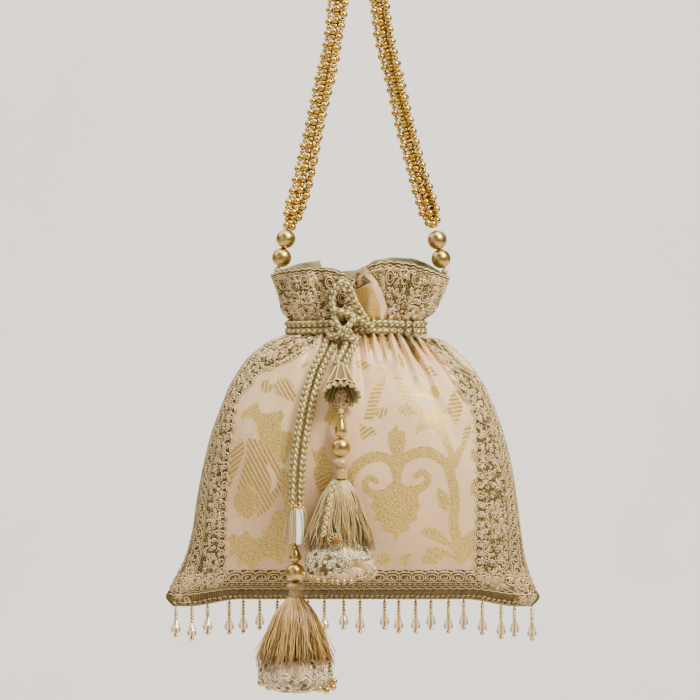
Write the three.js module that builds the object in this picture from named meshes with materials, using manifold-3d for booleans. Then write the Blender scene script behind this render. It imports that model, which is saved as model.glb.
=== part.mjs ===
// A potli: a gathered brocade pouch with embroidered borders, hung by a handle of gold bead strands.
// A braided drawstring is knotted round its neck, and its ends carry two silk tassels. A fringe of crystal
// drops hangs from the bottom seam.
//
// Millimetres, +Z up, the front faces -Y. The origin is the inside of the handle's top, where a hook holds it.
// Heights named "height" are measured up from the corners of the bottom seam.

import * as THREE from "three";
import { mergeVertices } from "three/addons/utils/BufferGeometryUtils.js";
import Module from "manifold-3d";

const wasm = await Module();
wasm.setup();

// ---------------------------------------------------------------- driving dimensions

const SEAM_Z = -373; // the seam's corners, below the hook
const SEAM_RISE = 6; // the seam's middle stands above its corners
const SEAM_GAP = 0.4; // between the front panel and the back panel at the side seams
const CLOTH = 1.2; // brocade with its interlining
const LINING = 0.8;
const TRIM = 1.0; // embroidered border
const AIR = 0.4; // between two layers of cloth
const HANGS_AT = 193.5; // height at which the handle is sewn on
const LEAN = 0.04; // the tassels' weight swings the pouch this far back for each millimetre below that
const COLLAR_TOP = 191; // height of the collar's corners
const COLLAR_ARCH = 5; // the collar's top edge rises above its corners

const BEAD_STRAND = { radius: 2.1, across: 4.5, apart: 4.0, twist: 0.7 };
const BIG_BEAD = 5.4; // radius
const PEARL = 2.0;
const THREAD = 0.5;
const BORE = 0.8; // radius of the hole through a bead

const CORD = 2.2; // radius of the braided drawstring
const CORD_PAIR = 4.9; // between the centres of a doubled drawstring

// The hand-sewn places of the fringe's drops along the seam, and how far below the seam they start.
const DROP_PLACES = [
  -105.7, -96.5, -87.4, -74.9, -66.8, -57.3, -47.2, -38.6, -29.4, -20, -8.8, 0.6, 14.7, 22.9, 32.7, 41.5,
  51.6, 60.4, 71.1, 82, 89.7, 99.8,
];
const DROP_START = 1.1;

// The pouch by height: half width, centre, half depth, and how lens-like its section is (1 is an ellipse).
const PROFILE = [
  [0, 103.6, -3.6, 1.8, 1.3],
  [5, 107.9, -3.6, 7.5, 1.3],
  [11, 105.1, -3.7, 13.5, 1.3],
  [27, 98.2, -2.4, 24.5, 1.25],
  [42, 94.8, -1.4, 31, 1.2],
  [62, 91.9, -1.2, 36.2, 1.15],
  [79, 89.0, -0.9, 38.3, 1.1],
  [102, 83.2, -0.9, 37.8, 1.05],
  [116, 78.0, -0.9, 35.6, 1],
  [132, 70.3, -1.2, 30.6, 1],
  [147, 57.9, -1.6, 24, 1],
  [154, 47.6, -1.3, 18.8, 1],
  [158, 37.0, -1.6, 14.2, 1],
  [161, 35.2, -1.7, 13.4, 1],
  [164, 36.6, -1.6, 13.7, 1],
  [168, 42.0, -0.9, 15.4, 1],
  [177, 46.5, 0.6, 18.2, 1],
  [191, 51.6, 0.6, 21, 1.1],
];
const ROWS = [0, 4, 10, 18, 27, 42, 62, 82, 102, 118, 132, 144, 153, 157.5, 161, 164.5, 169, 178, COLLAR_TOP];
const COLUMNS = [-1, -0.9, -0.77, -0.66, -0.55, -0.46, -0.3, 0, 0.3, 0.46, 0.55, 0.66, 0.77, 0.9, 1];
const BORDER = { inner: 0.55, bottom: 27, top: 153 }; // where the embroidered border lies on a panel

// ---------------------------------------------------------------- small helpers

const group = new THREE.Group();
const vec = (x, y, z) => new THREE.Vector3(x, y, z);
const point = (x, y, height) => vec(x, y, SEAM_Z + height);

function finish(color, roughness, metalness = 0) {
  return new THREE.MeshStandardMaterial({ color, roughness, metalness });
}
const SATIN = finish(0xe6d2c0, 0.5);
const EMBROIDERY = finish(0xa79f7c, 0.6, 0.2);
const SAGE = finish(0x8d8a68, 0.6);
const GOLD = finish(0xc9a048, 0.3, 0.9);
const IVORY_PEARL = finish(0xeadcc0, 0.3, 0.3);
const BRAID = finish(0xa9ad84, 0.5, 0.3);
const SILK = finish(0xd8c294, 0.5);
const LACE = finish(0xd9cbb4, 0.6, 0.2);
const CRYSTAL = finish(0xe8cfa8, 0.05);

function add(name, geometry, material, position = vec(0, 0, 0)) {
  const mesh = new THREE.Mesh(geometry, material);
  mesh.name = name;
  mesh.position.copy(position);
  group.add(mesh);
  return mesh;
}

// Turns a closed geometry's faces outwards.
function facingOut(geometry) {
  const p = geometry.attributes.position;
  const index = geometry.index.array;
  const [a, b, c] = [vec(), vec(), vec()];
  let volume = 0;
  for (let i = 0; i < index.length; i += 3) {
    a.fromBufferAttribute(p, index[i]);
    b.fromBufferAttribute(p, index[i + 1]);
    c.fromBufferAttribute(p, index[i + 2]);
    volume += a.dot(b.cross(c));
  }
  if (volume < 0) {
    for (let i = 0; i < index.length; i += 3) {
      [index[i + 1], index[i + 2]] = [index[i + 2], index[i + 1]];
    }
  }
  return geometry;
}

function fromArrays(positions, indices) {
  const geometry = new THREE.BufferGeometry();
  geometry.setAttribute("position", new THREE.Float32BufferAttribute(positions, 3));
  geometry.setIndex(new THREE.BufferAttribute(new Uint32Array(indices), 1));
  return facingOut(geometry);
}

function bare(geometry) {
  const copy = geometry.clone();
  copy.deleteAttribute("normal");
  copy.deleteAttribute("uv");
  return mergeVertices(copy, 1e-3);
}

function solidOf(geometry) {
  const merged = facingOut(bare(geometry));
  return new wasm.Manifold(
    new wasm.Mesh({
      numProp: 3,
      vertProperties: merged.attributes.position.array,
      triVerts: new Uint32Array(merged.index.array),
    }),
  );
}

function geometryOf(solid) {
  const mesh = solid.getMesh();
  return fromArrays(Array.from(mesh.vertProperties), Array.from(mesh.triVerts));
}

// The union of closed geometries that reach into each other.
function joined(...geometries) {
  return geometryOf(geometries.map(solidOf).reduce((whole, next) => whole.add(next)));
}

// A turned solid. The profile is [radius, z] pairs; it starts and ends on the axis, or closes on itself.
function turned(profile, segments, flatten = 1) {
  const points = profile.map(([radius, z]) => new THREE.Vector2(radius, z));
  if (profile[0][0] > 0) points.push(points[0].clone());
  const geometry = new THREE.LatheGeometry(points, segments).rotateX(Math.PI / 2);
  return facingOut(bare(geometry.scale(1, flatten, 1)));
}

// A round bar along a curve.
function bar(curve, radius, sides, steps) {
  const section = new THREE.Shape(
    Array.from({ length: sides }, (_, i) => {
      const angle = (2 * Math.PI * (i + 0.5)) / sides;
      return new THREE.Vector2(radius * Math.cos(angle), radius * Math.sin(angle));
    }),
  );
  return new THREE.ExtrudeGeometry(section, { steps, bevelEnabled: false, extrudePath: curve });
}

const smooth = (points) => new THREE.CatmullRomCurve3(points, false, "centripetal");

// A drilled ball: a turned ring with a bore along Z.
function drilledBall(radius, segments, bore = BORE, stretch = 1) {
  const first = Math.asin(bore / radius);
  const arc = Array.from({ length: 7 }, (_, i) => {
    const angle = first + ((Math.PI - 2 * first) * i) / 6;
    return [radius * Math.sin(angle), radius * stretch * Math.cos(angle)];
  });
  return turned(arc, segments);
}

// ---------------------------------------------------------------- the pouch's surface

// The profile's values at a height, by a cubic through the rows.
function profileAt(height) {
  const last = PROFILE.length - 1;
  let i = PROFILE.findIndex((row) => row[0] > height) - 1;
  if (i < 0) i = last - 1;
  const row = (k) => PROFILE[Math.min(last, Math.max(0, k))];
  const [before, start, end, after] = [row(i - 1), row(i), row(i + 1), row(i + 2)];
  const span = end[0] - start[0];
  const t = (height - start[0]) / span;
  const slope = (a, b, k) => (b[0] === a[0] ? 0 : ((b[k] - a[k]) / (b[0] - a[0])) * span);
  return [1, 2, 3, 4].map((k) => {
    const m0 = slope(before, end, k);
    const m1 = slope(start, after, k);
    const [t2, t3] = [t * t, t * t * t];
    return (
      (2 * t3 - 3 * t2 + 1) * start[k] +
      (t3 - 2 * t2 + t) * m0 +
      (3 * t2 - 2 * t3) * end[k] +
      (t3 - t2) * m1
    );
  });
}

const fade = (from, to, x) => THREE.MathUtils.smoothstep(x, from, to);

// How far back the leaning pouch lies at a height.
const leanAt = (height) => LEAN * (HANGS_AT - height);

// How far the bottom seam stands above its corners, at a share of the half width.
const seamRise = (share) => SEAM_RISE * (1 - fade(0.62, 0.92, Math.abs(share)));

// A point of the pouch. u runs from -1 at the left seam to 1 at the right one, side is -1 for the front and 1
// for the back, and inset goes inwards from the outer skin.
function pouchPoint(side, u, height, inset = 0, gap = SEAM_GAP / 2) {
  const [halfWidth, centre, depth, lens] = profileAt(height);
  const [widthAbove, , depthAbove] = profileAt(height + 1);
  const angle = (u * Math.PI) / 2;
  const across = Math.cos(angle);
  const rise = seamRise(Math.sin(angle)) * (1 - fade(0, 40, height));
  const arch = COLLAR_ARCH * across * fade(167, COLLAR_TOP, height);
  // A slanting wall needs a longer level inset for the same thickness.
  const insetX = inset * Math.hypot(1, widthAbove - halfWidth);
  const insetY = inset * Math.hypot(1, depthAbove - depth);
  return point(
    centre + (halfWidth - insetX) * Math.sin(angle),
    leanAt(height) + side * (gap + Math.max(depth - insetY, 0) * Math.max(across, 0) ** lens),
    height + rise + arch,
  );
}

const pouchFrontY = (x, height) => {
  const [halfWidth, centre, depth, lens] = profileAt(height);
  const share = (x - centre) / halfWidth;
  return leanAt(height) - (SEAM_GAP / 2 + depth * (1 - share * share) ** (lens / 2));
};

// A sheet of cloth of some thickness over the cells of the pouch's grid that a rule keeps.
function sheet(side, insetOuter, insetInner, keeps = () => true) {
  const positions = [];
  const indices = [];
  const wide = COLUMNS.length;
  const layerSize = wide * ROWS.length;
  for (const inset of [insetOuter, insetInner]) {
    for (const height of ROWS) {
      for (const u of COLUMNS) positions.push(...pouchPoint(side, u, height, inset).toArray());
    }
  }
  const at = (layer, i, j) => layer * layerSize + j * wide + i;
  const quad = (a, b, c, d) => indices.push(a, b, c, a, c, d);
  const kept = (i, j) =>
    i >= 0 &&
    j >= 0 &&
    i < wide - 1 &&
    j < ROWS.length - 1 &&
    keeps((COLUMNS[i] + COLUMNS[i + 1]) / 2, (ROWS[j] + ROWS[j + 1]) / 2);
  const wall = (i0, j0, i1, j1) => quad(at(0, i1, j1), at(0, i0, j0), at(1, i0, j0), at(1, i1, j1));
  for (let j = 0; j < ROWS.length - 1; j++) {
    for (let i = 0; i < wide - 1; i++) {
      if (!kept(i, j)) continue;
      quad(at(0, i, j), at(0, i + 1, j), at(0, i + 1, j + 1), at(0, i, j + 1));
      quad(at(1, i + 1, j + 1), at(1, i + 1, j), at(1, i, j), at(1, i, j + 1));
      if (!kept(i, j - 1)) wall(i, j, i + 1, j);
      if (!kept(i + 1, j)) wall(i + 1, j, i + 1, j + 1);
      if (!kept(i, j + 1)) wall(i + 1, j + 1, i, j + 1);
      if (!kept(i - 1, j)) wall(i, j + 1, i, j);
    }
  }
  return fromArrays(positions, indices);
}

// The lining is one open bag, sewn up along its sides and bottom.
function liningBag() {
  const outer = CLOTH + AIR;
  const inner = outer + LINING;
  const rows = ROWS.slice(1);
  const half = COLUMNS.length - 1;
  const around = 2 * half;
  const positions = [];
  for (const [inset, lift] of [
    [outer, 0],
    [inner, LINING],
  ]) {
    rows.forEach((height, j) => {
      for (let k = 0; k < around; k++) {
        const front = k <= half;
        const u = COLUMNS[front ? k : around - k];
        const p = pouchPoint(front ? -1 : 1, u, height, inset, 0);
        if (j === 0) p.z += lift;
        positions.push(...p.toArray());
      }
    });
  }
  const layerSize = rows.length * around;
  const at = (layer, k, j) => layer * layerSize + j * around + (k % around);
  const indices = [];
  const quad = (a, b, c, d) => indices.push(a, b, c, a, c, d);
  const last = rows.length - 1;
  for (let k = 0; k < around; k++) {
    for (let j = 0; j < last; j++) {
      // The back half's cells are cut along the other diagonal, as the back panel's are.
      const corners = [[k, j], [k + 1, j], [k + 1, j + 1], [k, j + 1]];
      if (k >= half) corners.push(corners.shift());
      quad(...corners.map(([kk, jj]) => at(0, kk, jj)));
      quad(...[2, 1, 0, 3].map((n) => at(1, ...corners[n])));
    }
    quad(at(0, k, last), at(0, k + 1, last), at(1, k + 1, last), at(1, k, last));
  }
  // The bottom joins each front point to the back point opposite it.
  for (let k = 0; k < half; k++) {
    const [a, b] = [k, k + 1];
    const [c, d] = [around - k - 1, around - k];
    for (const layer of [0, 1]) {
      const corners = [a, b, c, d].map((n) => at(layer, n, 0)).filter((n, i, all) => all.indexOf(n) === i);
      if (layer === 0) corners.reverse();
      if (corners.length === 4) quad(...corners);
      else indices.push(...corners);
    }
  }
  return fromArrays(positions, indices);
}

function buildPouch() {
  const border = (u, height) =>
    height < BORDER.top && (Math.abs(u) > BORDER.inner || height < BORDER.bottom);
  add("front_panel", sheet(-1, 0, CLOTH), SATIN);
  add("back_panel", sheet(1, 0, CLOTH), SATIN);
  add("lining", liningBag(), SAGE);
  add("front_border", sheet(-1, -AIR - TRIM, -AIR, border), EMBROIDERY);
  add("back_border", sheet(1, -AIR - TRIM, -AIR, border), EMBROIDERY);
}

// ---------------------------------------------------------------- the handle

// The arch that the bundle of strands follows, from the left end over the hook to the right end.
const BUNDLE_TOP = 379.9; // height of the bundle's centre over the hook
const ARCH = [
  [-40.6, 217.8],
  [-36.1, 231],
  [-31.2, 247],
  [-23.8, 281],
  [-16.6, 314],
  [-12.6, 336],
  [-11, 354],
  [-9.6, 368],
  [0, BUNDLE_TOP],
  [9.8, 368],
  [11.8, 354],
  [14.2, 336],
  [18.7, 314],
  [26.6, 281],
  [35.2, 247],
  [40.1, 230],
  [43.6, 217.2],
];
// Beads at each end, as [x, height]: upper, lower and the sewn pearl.
const HANDLE_ENDS = {
  left: [
    [-42.1, 212.0],
    [-44.5, 201.2],
    [-46.9, 193.9],
  ],
  right: [
    [45.0, 211.4],
    [47.2, 200.6],
    [49.6, 193.4],
  ],
};

function buildHandle() {
  const arch = smooth(ARCH.map(([x, height]) => point(x, 0, height)));
  const { radius, across, apart, twist } = BEAD_STRAND;
  // Each strand's place in the bundle, three in front and two behind.
  const places = [
    [-across, -apart / 2],
    [0, -apart / 2],
    [across, -apart / 2],
    [-across / 2, apart / 2],
    [across / 2, apart / 2],
  ];
  const stations = 60;
  places.forEach(([sideways, back], n) => {
    const route = Array.from({ length: stations + 1 }, (_, i) => {
      const t = i / stations;
      const along = arch.getTangentAt(t);
      const normal = vec(-along.z, 0, along.x); // in the arch's plane, away from the loop
      const turn = twist * Math.sin(2 * Math.PI * t);
      const x = sideways * Math.cos(turn) - back * Math.sin(turn);
      const y = sideways * Math.sin(turn) + back * Math.cos(turn);
      return arch.getPointAt(t).addScaledVector(normal, x).add(vec(0, y, 0));
    });
    add(`handle_strand_${n + 1}`, bar(smooth(route), radius, 6, 72), GOLD);
  });
  for (const [side, ends] of Object.entries(HANDLE_ENDS)) {
    const [upper, lower, pearl] = ends.map(([x, height]) => point(x, 0, height));
    const lean = Math.atan2(upper.x - lower.x, upper.z - lower.z);
    for (const [name, place] of [["upper", upper], ["lower", lower]]) {
      add(`handle_bead_${side}_${name}`, drilledBall(BIG_BEAD, 12), GOLD, place).rotation.y = lean;
    }
    add(`handle_pearl_${side}`, drilledBall(PEARL, 8, THREAD + 0.1), IVORY_PEARL, pearl).rotation.y = lean;
  }
}

// ---------------------------------------------------------------- the drawstring

const NECK = { height: 161, halfTall: 3.6, halfThick: 2, away: 1.7 };
const KNOT = { x: -9, height: 161, size: [8.5, 4.6, 6.5] };
// Where each end of the drawstring runs, as [x, height, distance in front of the pouch].
const LONG_ROUTE = [
  [-15.6, 153.4, 4.2],
  [-19.2, 146, 3.4],
  [-24.4, 135, 3.2],
  [-28.8, 120, 3.0],
  [-32.2, 102, 3.1],
  [-34.6, 84, 3.6],
  [-35.6, 70, 4.6],
  [-35.9, 59.5, 6.2],
];
const SHORT_ROUTE = [
  [-5.2, 153.2, 5.2],
  [-6.4, 148.5, 4.6],
  [-8.8, 144, 4.4],
  [-10.4, 140.6, 4.4],
];
const LONG_X = -36.4;
const LONG_Y = -35.6;
const SHORT_X = -10.4;
const SHORT_Y = -41.4;

function buildDrawstring() {
  // The doubled cord round the neck: a flat closed ring.
  const around = 40;
  const section = 8;
  const positions = [];
  const indices = [];
  const [halfWidth, centre, depth] = profileAt(NECK.height);
  for (let i = 0; i < around; i++) {
    const angle = (2 * Math.PI * i) / around;
    for (let k = 0; k < section; k++) {
      const turn = (2 * Math.PI * k) / section;
      const out = NECK.away + NECK.halfThick * (1 + Math.cos(turn));
      positions.push(
        centre + (halfWidth + out) * Math.cos(angle),
        leanAt(NECK.height) + (depth + SEAM_GAP / 2 + out) * Math.sin(angle),
        SEAM_Z + NECK.height + NECK.halfTall * Math.sin(turn),
      );
      const [i2, k2] = [(i + 1) % around, (k + 1) % section];
      const [a, b, c, d] = [i * section + k, i2 * section + k, i2 * section + k2, i * section + k2];
      indices.push(a, b, c, a, c, d);
    }
  }
  add("neck_cord", fromArrays(positions, indices), BRAID);

  const front = leanAt(NECK.height) - (depth + SEAM_GAP / 2 + NECK.away + 2 * NECK.halfThick);
  const knotY = front - 0.4 - KNOT.size[1];
  const knot = bare(new THREE.SphereGeometry(1, 12, 8)).scale(...KNOT.size);
  add("knot", knot, BRAID, point(KNOT.x, knotY, KNOT.height));

  // The bow's loop stands up from the knot and lies on the collar.
  const loop = smooth([
    point(-13.5, -25.2, 170.6),
    point(-15.2, -24.2, 176),
    point(-13.4, -24.8, 183),
    point(-9.4, -25.2, 186.5),
    point(-5.6, -25, 183),
    point(-2.4, -24.4, 176),
    point(2.2, -23.8, 169.5),
  ]);
  add("bow_loop", bar(loop, CORD, 8, 20), BRAID);

  const onPouch = ([x, height, off], shift) => {
    const y = pouchFrontY(x, height) - off;
    return point(x + shift, y, height);
  };
  for (const [side, shift] of [["left", -CORD_PAIR / 2], ["right", CORD_PAIR / 2]]) {
    const long = smooth(LONG_ROUTE.map((stop) => onPouch(stop, shift)));
    add(`long_cord_${side}`, bar(long, CORD, 8, 18), BRAID);
    const short = smooth(SHORT_ROUTE.map((stop) => onPouch(stop, shift * 0.97)));
    add(`short_cord_${side}`, bar(short, CORD, 8, 6), BRAID);
  }
}

// ---------------------------------------------------------------- the tassels

const CAP = { top: 57.5, height: 21.5, halfTop: 5.2, halfBottom: 8.4, wall: 0.9, flatten: 0.8 };
const BELL = { top: 139, y: -29.4, length: 22, mouth: 10, wall: 0.7, lean: 0.66 };

// The beads below a cap, as heights: a drop bead, a ball and a wrapped wooden head.
function hangingBeads(name, x, y, dropTop, dropLength, headLength) {
  const drop = [
    [BORE, 0],
    [1.7, 0],
    [2.4, -0.3 * dropLength],
    [3.7, -0.7 * dropLength],
    [3.3, -0.88 * dropLength],
    [1.6, -dropLength],
    [BORE, -dropLength],
  ];
  const ballCentre = dropTop - dropLength - 0.3 - BIG_BEAD;
  const headTop = ballCentre - BIG_BEAD - 0.2;
  const head = [
    [0, 0],
    [2.6, 0],
    [4.2, -0.2 * headLength],
    [4.2, -0.4 * headLength],
    [3.3, -0.6 * headLength],
    [3.3, -headLength],
    [0, -headLength],
  ];
  add(`${name}_drop_bead`, turned(drop, 10), GOLD, point(x, y, dropTop));
  add(`${name}_round_bead`, drilledBall(BIG_BEAD, 12), GOLD, point(x, y, ballCentre));
  add(`${name}_head`, turned(head, 12), SILK, point(x, y, headTop));
  return headTop - headLength;
}

// The silk threads, a skirt that is hollow inside. width is its radius at the bottom.
function silkSkirt(name, x, y, top, length, width, flatten) {
  const wall = 1.3;
  const outer = [
    [0, 0],
    [3.2, 0],
    [0.42 * width, -0.3 * length],
    [0.74 * width, -0.65 * length],
    [width, -length],
  ];
  const inner = [
    [width - wall, -length],
    [0.74 * width - wall, -0.65 * length],
    [0.42 * width - wall, -0.34 * length],
    [0, -0.3 * length],
  ];
  add(`${name}_skirt`, turned([...outer, ...inner], 16, flatten), SILK, point(x, y, top));
}

// The lace cuff under the threads, with its bead edging.
function laceCuff(name, x, y, top, height, width, flatten) {
  const wall = 0.9;
  const outer = [
    [0, 0],
    [0.45 * width, 0],
    [0.86 * width, -0.28 * height],
    [width, -0.66 * height],
    [0.9 * width, -height],
  ];
  const inner = [
    [0.9 * width - wall, -height],
    [width - wall, -0.66 * height],
    [0.86 * width - wall, -0.28 * height - 0.6],
    [0.4 * width, -wall],
    [0, -wall],
  ];
  add(`${name}_cuff`, turned([...outer, ...inner], 16, flatten), LACE, point(x, y, top));
  const ring = new THREE.TorusGeometry(0.86 * width, 1.35, 6, 20).scale(1, flatten, 1);
  add(`${name}_cuff_beads`, bare(ring), GOLD, point(x, y, top - height - 1.8));
}

function buildLongTassel() {
  const { top, height, halfTop, halfBottom, wall, flatten } = CAP;
  const profile = [
    [BORE, 0],
    [halfTop, 0],
    [halfBottom, -height],
    [halfBottom - wall, -height],
    [halfTop - wall, -wall],
    [BORE, -wall],
  ];
  add("long_cap", turned(profile, 8, flatten), EMBROIDERY, point(LONG_X, LONG_Y, top));
  const skirtTop = hangingBeads("long", LONG_X, LONG_Y, top - height + 0.8, 9.8, 7.6);
  silkSkirt("long", LONG_X, LONG_Y, skirtTop - 0.3, 38, 20, 0.9);
  laceCuff("long", LONG_X, LONG_Y, skirtTop - 38.6, 15.5, 20.5, 0.85);
}

function buildShortTassel() {
  const { top, y, length, mouth, wall, lean } = BELL;
  const outer = [
    [BORE, 0],
    [2.8, 0],
    [4.2, -0.3 * length],
    [7.4, -0.72 * length],
    [mouth, -length],
  ];
  const inner = [
    [mouth - wall, -length],
    [7.4 - wall, -0.72 * length],
    [4.2 - wall, -0.3 * length],
    [BORE, -1.5],
  ];
  const bell = add("short_bell", turned([...outer, ...inner], 12), EMBROIDERY, point(SHORT_X, y, top));
  bell.rotation.x = -lean; // the mouth leans out over the pouch
  const seedTop = 114.8;
  const seed = 1.6;
  add("short_seed_bead", drilledBall(seed, 8, THREAD), IVORY_PEARL, point(SHORT_X, SHORT_Y, seedTop - seed));
  const skirtTop = hangingBeads("short", SHORT_X, SHORT_Y, seedTop - 2 * seed - 0.3, 13, 11.8);
  silkSkirt("short", SHORT_X - 0.5, SHORT_Y, skirtTop - 0.3, 38.5, 18.5, 0.66);
  laceCuff("short", SHORT_X - 1, SHORT_Y, skirtTop - 39.1, 17, 19, 0.7);
}

// ---------------------------------------------------------------- the fringe

// A drop: a string of seed beads, a crystal and a gold bead at its end, on one thread.
function crystalDrop(stringLength) {
  const bead = 1.05;
  const waist = 0.7;
  const profile = [[0, 0]];
  const seeds = Math.round(stringLength / 2.1);
  const pitch = stringLength / seeds;
  for (let i = 0; i < seeds; i++) {
    profile.push([waist, -i * pitch], [bead, -(i + 0.5) * pitch]);
  }
  const crystal = -stringLength;
  profile.push(
    [waist, crystal],
    [1.5, crystal - 1.6],
    [2.9, crystal - 5.2],
    [2.2, crystal - 7.4],
    [waist, crystal - 8.2],
    [1.2, crystal - 9.3],
    [waist, crystal - 10.4],
    [0, crystal - 10.4],
  );
  return turned(profile, 6);
}

function buildFringe() {
  const [halfWidth, centre] = profileAt(0);
  DROP_PLACES.forEach((x, n) => {
    const seam = seamRise((x - centre) / halfWidth);
    const stringLength = [6.3, 8.4, 6.3, 8.4, 8.4][n % 5];
    const name = `fringe_drop_${String(n + 1).padStart(2, "0")}`;
    add(name, crystalDrop(stringLength), CRYSTAL, point(x, leanAt(0), seam - DROP_START));
  });
}

buildHandle();
buildPouch();
buildDrawstring();
buildLongTassel();
buildShortTassel();
buildFringe();

export default group;
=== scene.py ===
# Potli bag: gathered brocade pouch, embroidered borders, bead handle, two silk tassels, crystal fringe.
# The front faces -Y, and the origin is the inside of the handle's top, where it hangs.
import math
import random
from functools import partial
import bpy
import numpy as np
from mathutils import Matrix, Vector


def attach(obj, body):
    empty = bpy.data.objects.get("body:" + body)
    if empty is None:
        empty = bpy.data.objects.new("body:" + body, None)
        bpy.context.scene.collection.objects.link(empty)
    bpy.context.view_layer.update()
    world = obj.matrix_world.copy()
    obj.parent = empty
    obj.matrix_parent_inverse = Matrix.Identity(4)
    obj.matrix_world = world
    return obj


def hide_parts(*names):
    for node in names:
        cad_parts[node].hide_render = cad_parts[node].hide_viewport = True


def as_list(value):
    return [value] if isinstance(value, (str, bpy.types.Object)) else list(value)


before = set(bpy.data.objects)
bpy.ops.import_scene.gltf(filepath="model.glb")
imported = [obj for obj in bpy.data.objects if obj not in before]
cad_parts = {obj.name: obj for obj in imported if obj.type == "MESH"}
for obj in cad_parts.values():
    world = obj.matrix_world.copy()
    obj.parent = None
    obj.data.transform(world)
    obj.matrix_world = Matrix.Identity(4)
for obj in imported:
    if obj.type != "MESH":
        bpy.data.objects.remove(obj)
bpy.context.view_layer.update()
bpy.ops.object.select_all(action="DESELECT")

mm = 0.001
seamZ = -373.0  # height 0, the corners of the bottom seam, below the hook
dice = random.Random(7)
waveScale = 0.314  # the wave texture's scale that puts its bands one unit apart

viewing = {"lens": 268, "distance": 3.00, "x": -0.0052, "z": -0.2250, "floor": -0.85, "wall": 4.8}


def setUpView():
    bpy.ops.object.camera_add(location=(viewing["x"], -viewing["distance"], viewing["z"]),
                              rotation=(math.pi / 2, 0, 0))
    camera = bpy.context.object
    camera.data.lens = viewing["lens"]
    bpy.context.scene.camera = camera


setUpView()
print("camera made")


# materials

def hexColour(code):
    values = [int(code[i:i + 2], 16) / 255 for i in (1, 3, 5)]
    return [v / 12.92 if v <= 0.04045 else ((v + 0.055) / 1.055) ** 2.4 for v in values] + [1.0]


def addNode(material, kind, sockets=None, out=0, **settings):
    # each socket is given a value, or the output that feeds it; out says which of its outputs is handed on
    nodes = material.node_tree.nodes
    made = nodes[kind] if kind == "Principled BSDF" else nodes.new("ShaderNode" + kind)
    for key, value in settings.items():
        setattr(made, key, value)
    for key, value in (sockets or {}).items():
        if isinstance(value, bpy.types.NodeSocket):
            material.node_tree.links.new(value, made.inputs[key])
        elif isinstance(value, str):
            made.inputs[key].default_value = hexColour(value)
        else:
            made.inputs[key].default_value = value
    return made.outputs[out]


def newMaterial(name):
    # the material, and the function that adds a node to it
    material = bpy.data.materials.new(name)
    material.use_nodes = True
    return material, partial(addNode, material)


colourMix = {"data_type": "RGBA", "out": 2}

# bar, weft and stroke are spacings in mm
# the gold's lighter colour is the one its painted highlights and glints take
brocadeLook = {"satin": "#f4d0a2", "satinShade": "#e8c193", "gold": "#ac8228", "goldHighlight": "#fbe08a",
               "ground": "#54461b", "groundLight": "#72622f",
               "bar": 2.3, "weft": 0.30, "stroke": 1.0, "goldCover": 0.96}


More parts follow.
